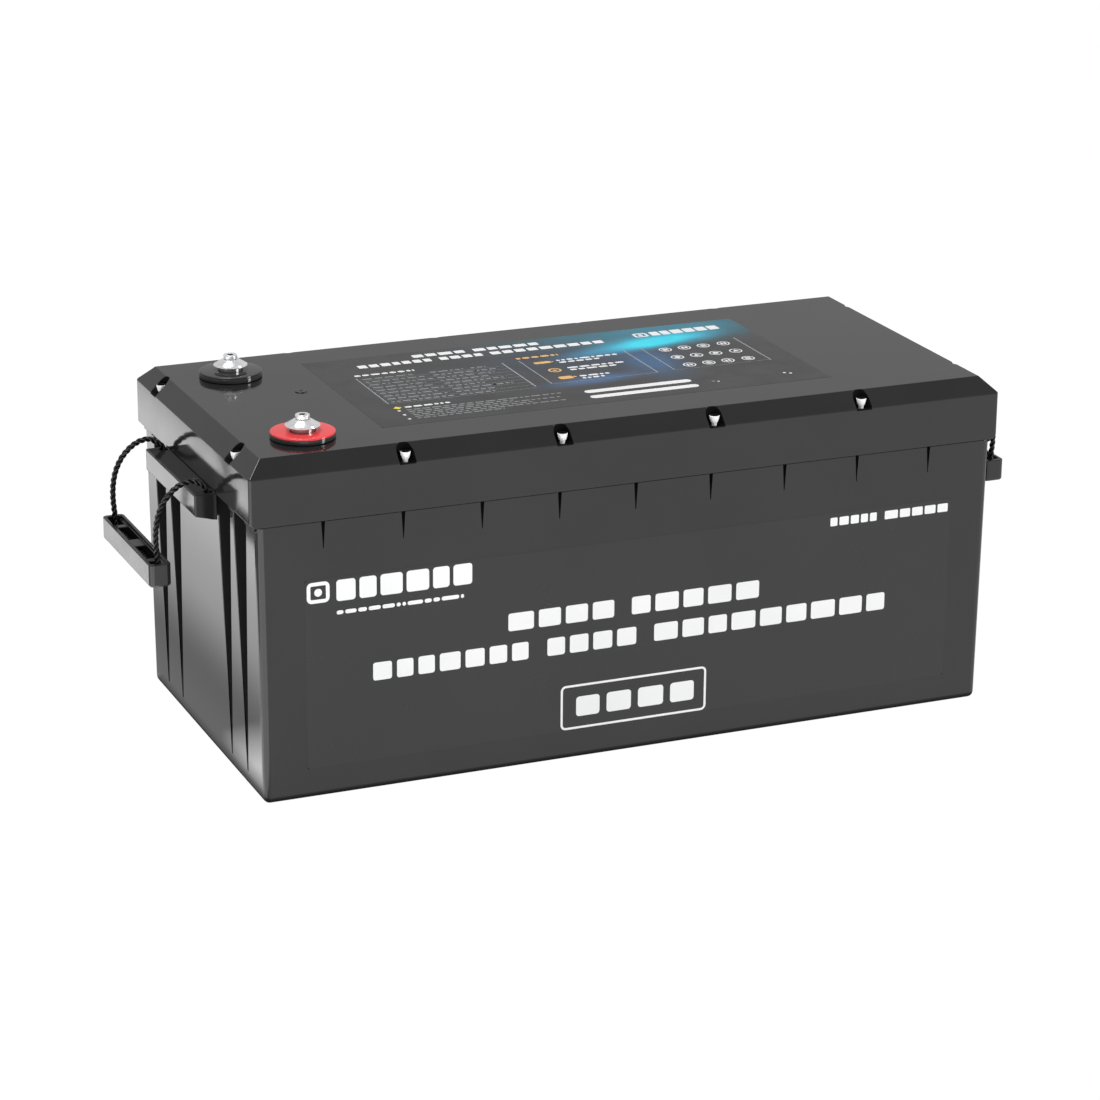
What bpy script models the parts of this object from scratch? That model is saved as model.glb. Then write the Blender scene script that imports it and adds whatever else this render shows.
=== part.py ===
"""Deep cycle battery, 12.8 V 200 Ah class, built as separate named pieces.

Metres, +Z up. The origin is the centre of the bottom face, +X runs along the length and the
terminals are at the -X end. Touching pieces keep GAP between them.
"""

import math

import bmesh
import bpy
from mathutils import Matrix, Vector

COLLECTION = "deep_cycle_battery"
GAP = 0.0003

# Case and lid
LENGTH = 0.522
WIDTH = 0.240
HEIGHT = 0.226
SKIRT_BOTTOM = 0.1842
CHAMFER = 0.0102
CASE_X_TOP = 0.2565
CASE_X_BOTTOM = 0.2543
CASE_Y = 0.1193
CASE_WALL = 0.005
FLOOR = 0.005
RIM_X = 0.2576
RIM_Y = 0.1173
RIM_TOP = 0.210
FLANGE = 0.004
OPENING_X = 0.2465
OPENING_Y = 0.108
LID_UNDERSIDE = 0.2123
LID_CEILING = 0.2218
EDGE_RADIUS = 0.0045
LABEL_RECESS = 0.0007
TOP_LABEL_LOW = (-0.158, -0.0765)
TOP_LABEL_HIGH = (0.158, 0.080)
FRONT_LABEL_LOW = (-0.2255, 0.0207)
FRONT_LABEL_HIGH = (0.2280, 0.1460)

# Lid screws, in open notches cut in the chamfer
SCREW_XS = (-0.157, -0.051, 0.055, 0.161)
SCREW_YS = (-0.0765, 0.0815)
SCREW_Y = 0.1146
SCREW_X = 0.2550
NOTCH_RADIUS = 0.0055
NOTCH_FLOOR = 0.2150
SCREW_HEAD_RADIUS = 0.0037
SCREW_HEAD_TOP = 0.2222
SCREW_CONE_FOOT = 0.2164
SHANK_RADIUS = 0.0017
SHANK_BOTTOM = 0.1965

# Grooves in the end walls and slits in the long walls, both tapering to nothing downwards
GROOVE_YS = (-0.0855, -0.0535, 0.0535, 0.0855)
GROOVE_TOP = 0.186
GROOVE_APEX = 0.011
GROOVE_WIDTH = 0.0264
GROOVE_DEPTH = 0.0105
SLIT_COUNT = 9
SLIT_MIDDLE = -0.0015
SLIT_PITCH = 0.0529
SLIT_APEX = 0.1665
SLIT_WIDTH = 0.0026
SLIT_DEPTH = 0.0022

# Carry ledges and rope handles
LEDGE_X = 0.2752
LEDGE_Y = 0.053
LEDGE_TOP = 0.188
LEDGE_OUTER_BOTTOM = 0.1735
LEDGE_WALL_BOTTOM = 0.1685
ROPE_RADIUS = 0.002
ROPE_HOLE_X = 0.2645
ROPE_Y = 0.048
KNOT_TOP = 0.1803
KNOT_POCKET_RADIUS = 0.0046
PIVOT_X = 0.2750
PIVOT_Z = 0.1960
GRIP_X = 0.2988
GRIP_LENGTH = 0.1084
GRIP_WIDTH = 0.0144
GRIP_TOP = 0.1452
GRIP_BOTTOM = 0.1302
TUNNEL_Z = 0.1388

# Terminals
TERMINAL_X = -0.211
POSITIVE_Y = -0.0765
NEGATIVE_Y = 0.0695
RING_RADIUS = 0.0208
RING_TOP = 0.2304
POST_RADIUS = 0.008
POST_BOTTOM = 0.2082
POST_TOP = 0.2334
CONE_BASE_RADIUS = 0.0112
CONE_TOP_RADIUS = 0.0051
CONE_HEIGHT = 0.0043
BOLT_HEAD_RADIUS = 0.0047
BOLT_HEAD_HEIGHT = 0.0027
BOLT_SHANK_RADIUS = 0.003
BOLT_SHANK_LENGTH = 0.0220
SOCKET_RADIUS = 0.0023
SOCKET_DEPTH = 0.0016
VENT_X = -0.1795
VENT_Y = 0.0187

# Cell pack
CELL_X = 0.054
CELL_Y = 0.174
CELL_Z = 0.205
CELL_PITCH = 0.0546
CELL_COUNT = 4
PACK_X = 0.060
CELL_BOTTOM = 0.0076
CELL_TERMINAL_Y = 0.058
BUSBAR_TOP = 0.2174
END_PLATE = 0.008

# Battery management board, standing beside the pack
BMS_X = -0.074
BMS_Y = 0.082
BMS_LOW = 0.030
BMS_HIGH = 0.178

PLASTIC = "black_plastic"
MATERIALS = {
    PLASTIC: ((0.020, 0.020, 0.021), 0.32, 0.0),
    "red_plastic": ((0.80, 0.035, 0.040), 0.38, 0.0),
    "terminal_black": ((0.025, 0.025, 0.026), 0.40, 0.0),
    "label_film": ((0.030, 0.055, 0.070), 0.35, 0.0),
    "rubber": ((0.018, 0.018, 0.018), 0.75, 0.0),
    "zinc_steel": ((0.78, 0.79, 0.80), 0.22, 1.0),
    "brass": ((0.72, 0.52, 0.22), 0.28, 1.0),
    "copper": ((0.85, 0.45, 0.30), 0.30, 1.0),
    "aluminium": ((0.75, 0.76, 0.77), 0.38, 1.0),
    "rope": ((0.012, 0.012, 0.012), 0.60, 0.0),
    "cell_film": ((0.05, 0.16, 0.42), 0.42, 0.0),
    "circuit_board": ((0.02, 0.16, 0.07), 0.45, 0.0),
    "cable_red": ((0.55, 0.02, 0.02), 0.45, 0.0),
    "cable_black": ((0.015, 0.015, 0.015), 0.45, 0.0),
    "foam": ((0.10, 0.10, 0.11), 0.90, 0.0),
}


# Scene helpers -------------------------------------------------------------------------


def clear_scene():
    for obj in list(bpy.data.objects):
        bpy.data.objects.remove(obj, do_unlink=True)


def make_collection(name):
    collection = bpy.data.collections.new(name)
    bpy.context.scene.collection.children.link(collection)
    return collection


def make_material(name):
    color, roughness, metallic = MATERIALS[name]
    material = bpy.data.materials.new(name)
    material.use_nodes = True
    shader = material.node_tree.nodes["Principled BSDF"]
    shader.inputs["Base Color"].default_value = (*color, 1.0)
    shader.inputs["Roughness"].default_value = roughness
    shader.inputs["Metallic"].default_value = metallic
    material.diffuse_color = (*color, 1.0)
    return material


def add_piece(name, bm, material, smooth=False):
    """Turns the bmesh into the object of one node."""
    mesh = bpy.data.meshes.new(name)
    bm.to_mesh(mesh)
    bm.free()
    obj = bpy.data.objects.new(name, mesh)
    parts.objects.link(obj)
    mesh.materials.append(materials[material])
    if smooth:
        mesh.shade_smooth()
        mesh.set_sharp_from_angle(angle=math.radians(40))
    return obj


def add_tool(name, bm):
    """A cutter, or a shape to be joined on: it is left out of the object."""
    mesh = bpy.data.meshes.new(name)
    bm.to_mesh(mesh)
    bm.free()
    obj = bpy.data.objects.new(name, mesh)
    tools.objects.link(obj)
    obj.hide_render = True
    obj.display_type = "WIRE"
    return obj


def combine(obj, operation, tool):
    modifier = obj.modifiers.new(tool.name, "BOOLEAN")
    modifier.operation = operation
    modifier.object = tool
    return obj


def cut(obj, name, bm):
    return combine(obj, "DIFFERENCE", add_tool(name, bm))


def join(obj, name, bm):
    return combine(obj, "UNION", add_tool(name, bm))


# Shape helpers -------------------------------------------------------------------------


def box(low, high, bm=None):
    bm = bm or bmesh.new()
    low, high = Vector(low), Vector(high)
    size = high - low
    place = Matrix.Translation((low + high) / 2) @ Matrix.Diagonal((*size, 1))
    bmesh.ops.create_cube(bm, size=1, matrix=place)
    return bm


def centred_box(half_x, half_y, z_low, z_high, bm=None):
    return box((-half_x, -half_y, z_low), (half_x, half_y, z_high), bm)


def tapered(foot, head, z_foot, z_head, bm=None):
    """A block whose foot and head are different rectangles, each (x0, y0, x1, y1)."""
    bm = bm or bmesh.new()
    corners = bmesh.ops.create_cube(bm, size=2)["verts"]
    for corner in corners:
        x0, y0, x1, y1 = head if corner.co.z > 0 else foot
        corner.co.x = x1 if corner.co.x > 0 else x0
        corner.co.y = y1 if corner.co.y > 0 else y0
        corner.co.z = z_head if corner.co.z > 0 else z_foot
    return bm


def cylinder(centre, radius, z_low, z_high, sides=24, bm=None, top_radius=None):
    bm = bm or bmesh.new()
    x, y = centre
    bmesh.ops.create_cone(
        bm,
        cap_ends=True,
        segments=sides,
        radius1=radius,
        radius2=radius if top_radius is None else top_radius,
        depth=z_high - z_low,
        matrix=Matrix.Translation((x, y, (z_low + z_high) / 2)),
    )
    return bm


def round_edges(bm, wanted, width, segments):
    """Rounds the edges whose two ends both satisfy wanted."""
    edges = [e for e in bm.edges if wanted(*(v.co for v in e.verts))]
    bmesh.ops.bevel(
        bm, geom=edges, offset=width, segments=segments, profile=0.5, affect="EDGES"
    )
    return bm


def upright(a, b):
    return abs(a.z - b.z) > 0.6 * (a - b).length


def turned(name, profile, material, location, steps=32):
    """A turned piece: profile holds (radius, z), down the outer side and up the inner one."""
    bm = bmesh.new()
    points = [bm.verts.new((r, 0, z)) for r, z in profile]
    for a, b in zip(points, points[1:]):
        bm.edges.new((a, b))
    if profile[0][0] > 0 and profile[-1][0] > 0:
        bm.edges.new((points[-1], points[0]))
    obj = add_piece(name, bm, material)
    obj.location = location
    screw = obj.modifiers.new("turn", "SCREW")
    screw.steps = steps
    screw.render_steps = steps
    screw.use_merge_vertices = True
    screw.merge_threshold = 0.00002
    return obj


def smooth_path(route, steps):
    """Points along a Catmull-Rom curve through the route, with steps points to each stretch."""
    route = [Vector(p) for p in route]
    padded = [2 * route[0] - route[1], *route, 2 * route[-1] - route[-2]]
    points = []
    for a, b, c, d in zip(padded, padded[1:], padded[2:], padded[3:]):
        for step in range(steps):
            t = step / steps
            points.append(
                0.5
                * (
                    2 * b
                    + (c - a) * t
                    + (2 * a - 5 * b + 4 * c - d) * t**2
                    + (3 * b - a - 3 * c + d) * t**3
                )
            )
    return [*points, route[-1]]


def tube(name, points, radius, material, swell=None):
    """A tube along the points. swell gives each point's share of the radius."""
    curve = bpy.data.curves.new(name, "CURVE")
    curve.dimensions = "3D"
    curve.bevel_depth = radius
    curve.bevel_resolution = 2
    curve.use_fill_caps = True
    spline = curve.splines.new("POLY")
    spline.points.add(len(points) - 1)
    for index, (point, place) in enumerate(zip(spline.points, points)):
        point.co = (*place, 1)
        point.radius = swell[index] if swell else 1.0
    curve.materials.append(materials[material])
    obj = bpy.data.objects.new(name, curve)
    parts.objects.link(obj)
    return obj


# Case, lid and what closes them --------------------------------------------------------


def screw_places():
    """(x, y, outward x, outward y) of each lid screw."""
    places = []
    for side in (-1, 1):
        places += [(x, side * SCREW_Y, 0, side) for x in SCREW_XS]
        places += [(side * SCREW_X, y, side, 0) for y in SCREW_YS]
    return places


def groove_shapes(grow, top, apex):
    """The end wall grooves, or with grow the bosses that back them on the inside."""
    bm = bmesh.new()
    outer = -0.004 if grow else 0.004
    half_top = GROOVE_WIDTH / 2 + grow
    half_foot = 0.0006 + grow
    for side in (-1, 1):
        for y in GROOVE_YS:
            head_x = sorted((side * (CASE_X_TOP + outer), side * (CASE_X_TOP - GROOVE_DEPTH - grow)))
            foot_x = sorted((side * (CASE_X_BOTTOM + outer), side * (CASE_X_BOTTOM - 0.0003 - grow)))
            tapered(
                (foot_x[0], y - half_foot, foot_x[1], y + half_foot),
                (head_x[0], y - half_top, head_x[1], y + half_top),
                apex,
                top,
                bm,
            )
    return bm


def slit_shapes():
    bm = bmesh.new()
    for side in (-1, 1):
        for index in range(SLIT_COUNT):
            x = SLIT_MIDDLE + (index - (SLIT_COUNT - 1) / 2) * SLIT_PITCH
            outside = side * (CASE_Y + 0.003)
            deep = sorted((outside, side * (CASE_Y - SLIT_DEPTH)))
            shallow = sorted((outside, side * (CASE_Y - 0.0001)))
            tapered(
                (x - 0.0002, shallow[0], x + 0.0002, shallow[1]),
                (x - SLIT_WIDTH / 2, deep[0], x + SLIT_WIDTH / 2, deep[1]),
                SLIT_APEX,
                SKIRT_BOTTOM + 0.001,
                bm,
            )
    return bm


def ledge_shape(side):
    """The shelf that a rope handle hangs over: flat on top, with a sloping underside."""
    inner = side * (CASE_X_TOP - 0.002)
    outer = side * LEDGE_X
    bm = box((min(inner, outer), -LEDGE_Y, LEDGE_WALL_BOTTOM), (max(inner, outer), LEDGE_Y, LEDGE_TOP))
    for v in bm.verts:
        if abs(v.co.x) > CASE_X_TOP and v.co.z < LEDGE_TOP - 0.001:
            v.co.z = LEDGE_OUTER_BOTTOM
    return round_edges(bm, lambda a, b: min(abs(a.x), abs(b.x)) > LEDGE_X - 0.0001, 0.0006, 2)


def rope_holes():
    bm = bmesh.new()
    for side in (-1, 1):
        for y in (-ROPE_Y, ROPE_Y):
            cylinder((side * ROPE_HOLE_X, y), 0.0031, KNOT_TOP - 0.001, LEDGE_TOP + 0.002, 16, bm)
    return bm


def knot_pockets():
    bm = bmesh.new()
    for side in (-1, 1):
        for y in (-ROPE_Y, ROPE_Y):
            cylinder((side * ROPE_HOLE_X, y), KNOT_POCKET_RADIUS, LEDGE_WALL_BOTTOM - 0.002, KNOT_TOP, 16, bm)
    return bm


def make_case():
    outside = tapered(
        (-CASE_X_BOTTOM, -CASE_Y, CASE_X_BOTTOM, CASE_Y),
        (-CASE_X_TOP, -CASE_Y, CASE_X_TOP, CASE_Y),
        0,
        SKIRT_BOTTOM - GAP,
    )
    round_edges(outside, lambda a, b: upright(a, b) or max(a.z, b.z) < 0.001, EDGE_RADIUS, 5)
    case = add_piece("case", outside, PLASTIC)
    join(case, "case_rim", centred_box(RIM_X, RIM_Y, SKIRT_BOTTOM - 0.0025, RIM_TOP))
    for side, name in ((-1, "left"), (1, "right")):
        join(case, f"case_ledge_{name}", ledge_shape(side))
    cut(
        case,
        "case_cavity",
        centred_box(CASE_X_TOP - CASE_WALL, CASE_Y - CASE_WALL, FLOOR, RIM_TOP - FLANGE),
    )
    cut(case, "case_opening", centred_box(OPENING_X, OPENING_Y, RIM_TOP - 0.01, RIM_TOP + 0.01))
    bosses = bmesh.new()
    for x, y, out_x, out_y in screw_places():
        cylinder((x - 0.002 * out_x, y - 0.002 * out_y), 0.0048, 0.191, RIM_TOP - FLANGE + 0.001, 12, bosses)
    join(case, "case_screw_bosses", bosses)
    join(case, "case_groove_backs", groove_shapes(0.0024, GROOVE_TOP + 0.003, FLOOR - 0.001))
    cut(case, "case_grooves", groove_shapes(0, GROOVE_TOP, GROOVE_APEX))
    cut(case, "case_slits", slit_shapes())
    cut(case, "case_rope_holes", rope_holes())
    cut(case, "case_knot_pockets", knot_pockets())
    pilots = bmesh.new()
    for x, y, _, _ in screw_places():
        cylinder((x, y), SHANK_RADIUS + GAP, 0.1955, RIM_TOP + 0.002, 12, pilots)
    cut(case, "case_pilots", pilots)
    (x_low, z_low), (x_high, z_high) = FRONT_LABEL_LOW, FRONT_LABEL_HIGH
    label = box((x_low, -0.125, z_low), (x_high, -CASE_Y + LABEL_RECESS, z_high))
    cut(case, "case_label_recess", label)
    return case


def terminal_places():
    return (("positive", POSITIVE_Y), ("negative", NEGATIVE_Y))


def make_lid():
    outside = centred_box(LENGTH / 2, WIDTH / 2, SKIRT_BOTTOM, HEIGHT)
    round_edges(outside, lambda a, b: min(a.z, b.z) > HEIGHT - 0.0001, CHAMFER, 1)
    round_edges(
        outside,
        lambda a, b: max(a.z, b.z) < SKIRT_BOTTOM + 0.0001 and abs(a.y - b.y) > 0.1,
        0.0028,
        1,
    )
    round_edges(
        outside,
        lambda a, b: abs(a.z - b.z) > 0.02 and abs(a.x - b.x) < 0.001,
        0.0016,
        2,
    )
    lid = add_piece("lid", outside, PLASTIC)
    cut(lid, "lid_lower_hollow", centred_box(RIM_X + GAP, RIM_Y + GAP, 0.18, LID_UNDERSIDE))
    cut(lid, "lid_upper_hollow", centred_box(0.246, 0.1075, LID_UNDERSIDE - 0.002, LID_CEILING))
    for side, name in ((-1, "left"), (1, "right")):
        ends = sorted((side * 0.250, side * 0.270))
        ledge_gap = box(
            (ends[0], -LEDGE_Y - GAP, 0.18), (ends[1], LEDGE_Y + GAP, LEDGE_TOP + GAP)
        )
        cut(lid, f"lid_ledge_gap_{name}", ledge_gap)
    notches = bmesh.new()
    notch_mouths = bmesh.new()
    holes = bmesh.new()
    for x, y, out_x, out_y in screw_places():
        cylinder((x, y), NOTCH_RADIUS, NOTCH_FLOOR, HEIGHT + 0.002, 24, notches)
        reach_x, reach_y = x + 0.012 * out_x, y + 0.012 * out_y
        half_x, half_y = NOTCH_RADIUS * abs(out_y), NOTCH_RADIUS * abs(out_x)
        box(
            (min(x, reach_x) - half_x, min(y, reach_y) - half_y, NOTCH_FLOOR),
            (max(x, reach_x) + half_x, max(y, reach_y) + half_y, HEIGHT + 0.002),
            notch_mouths,
        )
        cylinder((x, y), SHANK_RADIUS + GAP, LID_UNDERSIDE - 0.001, NOTCH_FLOOR + 0.001, 12, holes)
    cut(lid, "lid_notches", notches)
    cut(lid, "lid_notch_mouths", notch_mouths)
    cut(lid, "lid_screw_holes", holes)
    for name, y in terminal_places():
        cut(lid, f"lid_{name}_hole", cylinder((TERMINAL_X, y), POST_RADIUS + GAP, 0.215, 0.24, 32))
    cut(lid, "lid_vent_hole", cylinder((VENT_X, VENT_Y), 0.0028, 0.215, 0.24, 16))
    label = box((*TOP_LABEL_LOW, HEIGHT - LABEL_RECESS), (*TOP_LABEL_HIGH, HEIGHT + 0.01))
    cut(lid, "lid_label_recess", label)
    join(lid, "lid_plus_bar", mark_bar(-0.1034, 0.0078, 0.0018))
    join(lid, "lid_plus_stem", mark_bar(-0.1034, 0.0018, 0.0078))
    join(lid, "lid_minus_bar", mark_bar(0.097, 0.0078, 0.0018))
    return lid


def mark_bar(y, length_x, length_y):
    """One raised bar of a polarity mark beside a terminal."""
    x = TERMINAL_X + 0.004
    return box(
        (x - length_x / 2, y - length_y / 2, HEIGHT - 0.001),
        (x + length_x / 2, y + length_y / 2, HEIGHT + 0.0005),
    )


def make_gasket():
    slab = centred_box(RIM_X - 0.0004, RIM_Y - 0.0003, RIM_TOP + GAP, LID_UNDERSIDE - GAP)
    gasket = add_piece("lid_gasket", slab, "rubber")
    cut(gasket, "gasket_opening", centred_box(OPENING_X, OPENING_Y, 0.2, 0.22))
    holes = bmesh.new()
    for x, y, _, _ in screw_places():
        cylinder((x, y), SHANK_RADIUS + GAP, 0.2, 0.22, 12, holes)
    cut(gasket, "gasket_holes", holes)
    return gasket


def make_lid_screws():
    cross = 0.0011
    for index, (x, y, _, _) in enumerate(screw_places(), 1):
        screw = turned(
            f"lid_screw_{index:02d}",
            [
                (0, SCREW_HEAD_TOP),
                (SCREW_HEAD_RADIUS, SCREW_HEAD_TOP),
                (SCREW_HEAD_RADIUS, SCREW_HEAD_TOP - 0.0006),
                (SHANK_RADIUS, SCREW_CONE_FOOT),
                (SHANK_RADIUS, SHANK_BOTTOM + 0.001),
                (SHANK_RADIUS * 0.5, SHANK_BOTTOM),
                (0, SHANK_BOTTOM),
            ],
            "zinc_steel",
            (x, y, 0),
            steps=16,
        )
        for way, half_x, half_y in (("across", 0.0019, cross / 2), ("along", cross / 2, 0.0019)):
            arm = box(
                (x - half_x, y - half_y, SCREW_HEAD_TOP - 0.0012),
                (x + half_x, y + half_y, SCREW_HEAD_TOP + 0.001),
            )
            cut(screw, f"screw_recess_{index:02d}_{way}", arm)


def make_labels():
    edge = 0.0004
    add_piece(
        "top_label",
        box(
            (TOP_LABEL_LOW[0] + edge, TOP_LABEL_LOW[1] + edge, HEIGHT - LABEL_RECESS + GAP),
            (TOP_LABEL_HIGH[0] - edge, TOP_LABEL_HIGH[1] - edge, HEIGHT - 0.00005),
        ),
        "label_film",
    )
    add_piece(
        "front_label",
        box(
            (FRONT_LABEL_LOW[0] + edge, -CASE_Y + 0.00005, FRONT_LABEL_LOW[1] + edge),
            (FRONT_LABEL_HIGH[0] - edge, -CASE_Y + LABEL_RECESS - GAP, FRONT_LABEL_HIGH[1] - edge),
        ),
        "label_film",
    )


# Terminals -----------------------------------------------------------------------------


def make_terminals():
    """A post moulded through the lid, a coloured ring round it, a dished washer and a cap screw."""
    seat = POST_TOP + GAP
    head = seat + CONE_HEIGHT + GAP
    for name, y in terminal_places():
        place = (TERMINAL_X, y, 0)
        turned(
            f"{name}_terminal_ring",
            [
                (RING_RADIUS - 0.0005, RING_TOP),
                (RING_RADIUS, RING_TOP - 0.0005),
                (RING_RADIUS, HEIGHT + GAP),
                (POST_RADIUS + GAP, HEIGHT + GAP),
                (POST_RADIUS + GAP, RING_TOP),
            ],
            "red_plastic" if name == "positive" else "terminal_black",
            place,
            steps=48,
        )
        bore = BOLT_SHANK_RADIUS + GAP
        turned(
            f"{name}_terminal_post",
            [
                (POST_RADIUS - 0.0005, POST_TOP),
                (POST_RADIUS, POST_TOP - 0.0005),
                (POST_RADIUS, LID_CEILING - GAP),
                (POST_RADIUS + 0.004, LID_CEILING - GAP),
                (POST_RADIUS + 0.004, LID_CEILING - 0.0035),
                (POST_RADIUS - 0.001, LID_CEILING - 0.0035),
                (POST_RADIUS - 0.001, POST_BOTTOM),
                (0, POST_BOTTOM),
                (0, POST_BOTTOM + 0.002),
                (bore, POST_BOTTOM + 0.002),
                (bore, POST_TOP),
            ],
            "brass",
            place,
        )
        turned(
            f"{name}_dished_washer",
            [
                (CONE_TOP_RADIUS, seat + CONE_HEIGHT),
                (CONE_BASE_RADIUS - 0.0004, seat + 0.0007),
                (CONE_BASE_RADIUS, seat + 0.0004),
                (CONE_BASE_RADIUS - 0.0002, seat),
                (bore, seat),
                (bore, seat + CONE_HEIGHT),
            ],
            "zinc_steel",
            place,
            steps=40,
        )
        bolt = turned(
            f"{name}_terminal_bolt",
            [
                (0, head + BOLT_HEAD_HEIGHT),
                (BOLT_HEAD_RADIUS - 0.0006, head + BOLT_HEAD_HEIGHT),
                (BOLT_HEAD_RADIUS, head + BOLT_HEAD_HEIGHT - 0.0006),
                (BOLT_HEAD_RADIUS, head),
                (BOLT_SHANK_RADIUS, head),
                (BOLT_SHANK_RADIUS, head - BOLT_SHANK_LENGTH + 0.001),
                (BOLT_SHANK_RADIUS - 0.001, head - BOLT_SHANK_LENGTH),
                (0, head - BOLT_SHANK_LENGTH),
            ],
            "zinc_steel",
            place,
        )
        top = head + BOLT_HEAD_HEIGHT
        socket = cylinder((TERMINAL_X, y), SOCKET_RADIUS, top - SOCKET_DEPTH, top + 0.001, 6)
        cut(bolt, f"{name}_socket", socket)


def make_vent_plug():
    turned(
        "vent_plug",
        [
            (0, HEIGHT + 0.0013),
            (0.0028, HEIGHT + 0.0012),
            (0.0039, HEIGHT + 0.0008),
            (0.0041, HEIGHT + GAP),
            (0.0025, HEIGHT + GAP),
            (0.0025, LID_CEILING - 0.0008),
            (0, LID_CEILING - 0.0008),
        ],
        PLASTIC,
        (VENT_X, VENT_Y, 0),
        steps=20,
    )


# Rope handles --------------------------------------------------------------------------


def handle_route(side):
    """The rope's centreline on one side of a handle, from its pivot to the top of the grip."""
    return [
        (side * x, 0, z)
        for x, z in (
            (PIVOT_X, PIVOT_Z),
            (0.2812, 0.1950),
            (0.2876, 0.1912),
            (0.2934, 0.1848),
            (0.2975, 0.1765),
            (0.2995, 0.1670),
            (0.2998, 0.1575),
            (0.2992, 0.1500),
            (GRIP_X, 0.1450),
        )
    ]


def rope_loop_route(side):
    """From the pivot down one strand, through the grip and up the other strand."""
    near = [Vector((x, -ROPE_Y, z)) for x, _, z in handle_route(side)]
    turn = [
        Vector((side * GRIP_X, -ROPE_Y + 0.0016, TUNNEL_Z + 0.0018)),
        Vector((side * GRIP_X, -ROPE_Y + 0.0062, TUNNEL_Z + 0.0002)),
    ]
    bottom = [Vector((side * GRIP_X, y, TUNNEL_Z)) for y in (-0.030, -0.015)]
    half = near + turn + bottom
    middle = Vector((side * GRIP_X, 0, TUNNEL_Z))
    return half + [middle] + [Vector((p.x, -p.y, p.z)) for p in reversed(half)]


def make_rope_tail(name, side, y):
    """The knotted end of the rope, up through its hole in the ledge to just short of the pivot."""
    hole = side * ROPE_HOLE_X
    bulb = (
        (0.1712, 0.3),
        (0.1722, 1.3),
        (0.1738, 1.95),
        (0.1760, 2.1),
        (0.1780, 1.75),
        (0.1794, 1.15),
    )
    arch = (
        (0.2645, 0.1820),
        (0.26455, 0.1850),
        (0.2649, 0.1880),
        (0.2661, 0.1906),
        (0.2686, 0.1930),
        (0.27215, 0.1950),
    )
    swell = [share for _, share in bulb]
    points = [Vector((hole, y, z)) for z, _ in bulb]
    points += [Vector((side * x, y, z)) for x, z in arch]
    swell += [1.0] * (len(arch) - 1) + [0.85]
    tube(name, points, ROPE_RADIUS, "rope", swell)


def make_grip(name, side):
    x = side * GRIP_X
    half_x, half_y = GRIP_WIDTH / 2, GRIP_LENGTH / 2
    bm = box((x - half_x, -half_y, GRIP_BOTTOM), (x + half_x, half_y, GRIP_TOP))
    round_edges(bm, upright, 0.0030, 3)
    round_edges(bm, lambda a, b: max(a.z, b.z) < GRIP_BOTTOM + 0.0001, 0.0016, 2)
    grip = add_piece(name, bm, PLASTIC)
    hollow = box((x - 0.0050, -0.0500, GRIP_TOP - 0.0022), (x + 0.0050, 0.0500, GRIP_TOP + 0.002))
    bmesh.ops.create_cone(
        hollow,
        cap_ends=True,
        segments=12,
        radius1=ROPE_RADIUS + 0.0009,
        radius2=ROPE_RADIUS + 0.0009,
        depth=0.094,
        matrix=Matrix.Translation((x, 0, TUNNEL_Z)) @ Matrix.Rotation(math.pi / 2, 4, "X"),
    )
    cut(grip, f"{name}_hollow", hollow)
    openings = bmesh.new()
    for end in (-1, 1):
        ys = sorted((end * 0.0385, end * 0.0512))
        box((x - 0.0034, ys[0], TUNNEL_Z - 0.0034), (x + 0.0034, ys[1], GRIP_TOP + 0.002), openings)
        ys = sorted((end * 0.0070, end * 0.0330))
        slot_x = x - side * 0.0010
        box((slot_x - 0.0036, ys[0], 0.1340), (slot_x + 0.0036, ys[1], GRIP_TOP + 0.002), openings)
    cut(grip, f"{name}_openings", openings)
    return grip


def make_handles():
    """Each grip and its rope loop hang from an empty on the handle's axis."""
    for side, name in ((-1, "left"), (1, "right")):
        axis = bpy.data.objects.new(f"{name}_handle_axis", None)
        parts.objects.link(axis)
        axis.location = (side * PIVOT_X, 0, PIVOT_Z)
        grip = make_grip(f"{name}_handle_grip", side)
        points = smooth_path(rope_loop_route(side), 2)
        start = points[0] + (points[0] - points[1]).normalized() * 0.0012
        end = points[-1] + (points[-1] - points[-2]).normalized() * 0.0012
        swell = [0.75] + [1.0] * len(points) + [0.75]
        rope = tube(f"{name}_handle_rope", [start, *points, end], ROPE_RADIUS, "rope", swell)
        for piece in (grip, rope):
            piece.parent = axis
            piece.matrix_parent_inverse = Matrix.Translation(axis.location).inverted()
        make_rope_tail(f"{name}_rope_tail_front", side, -ROPE_Y)
        make_rope_tail(f"{name}_rope_tail_back", side, ROPE_Y)


# Cell pack and battery management ------------------------------------------------------


def cell_x(index):
    return PACK_X + (index - (CELL_COUNT - 1) / 2) * CELL_PITCH


def make_cells():
    for index in range(CELL_COUNT):
        x = cell_x(index)
        low = Vector((x - CELL_X / 2, -CELL_Y / 2, CELL_BOTTOM))
        can = box(low, low + Vector((CELL_X, CELL_Y, CELL_Z)))
        round_edges(can, upright, 0.002, 2)
        cell = add_piece(f"cell_{index + 1}", can, "cell_film")
        top = CELL_BOTTOM + CELL_Z
        for side, name in ((-1, "front"), (1, "back")):
            stud = cylinder((x, side * CELL_TERMINAL_Y), 0.010, top - 0.002, BUSBAR_TOP - 0.0025, 20)
            join(cell, f"cell_{index + 1}_stud_{name}", stud)


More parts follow.
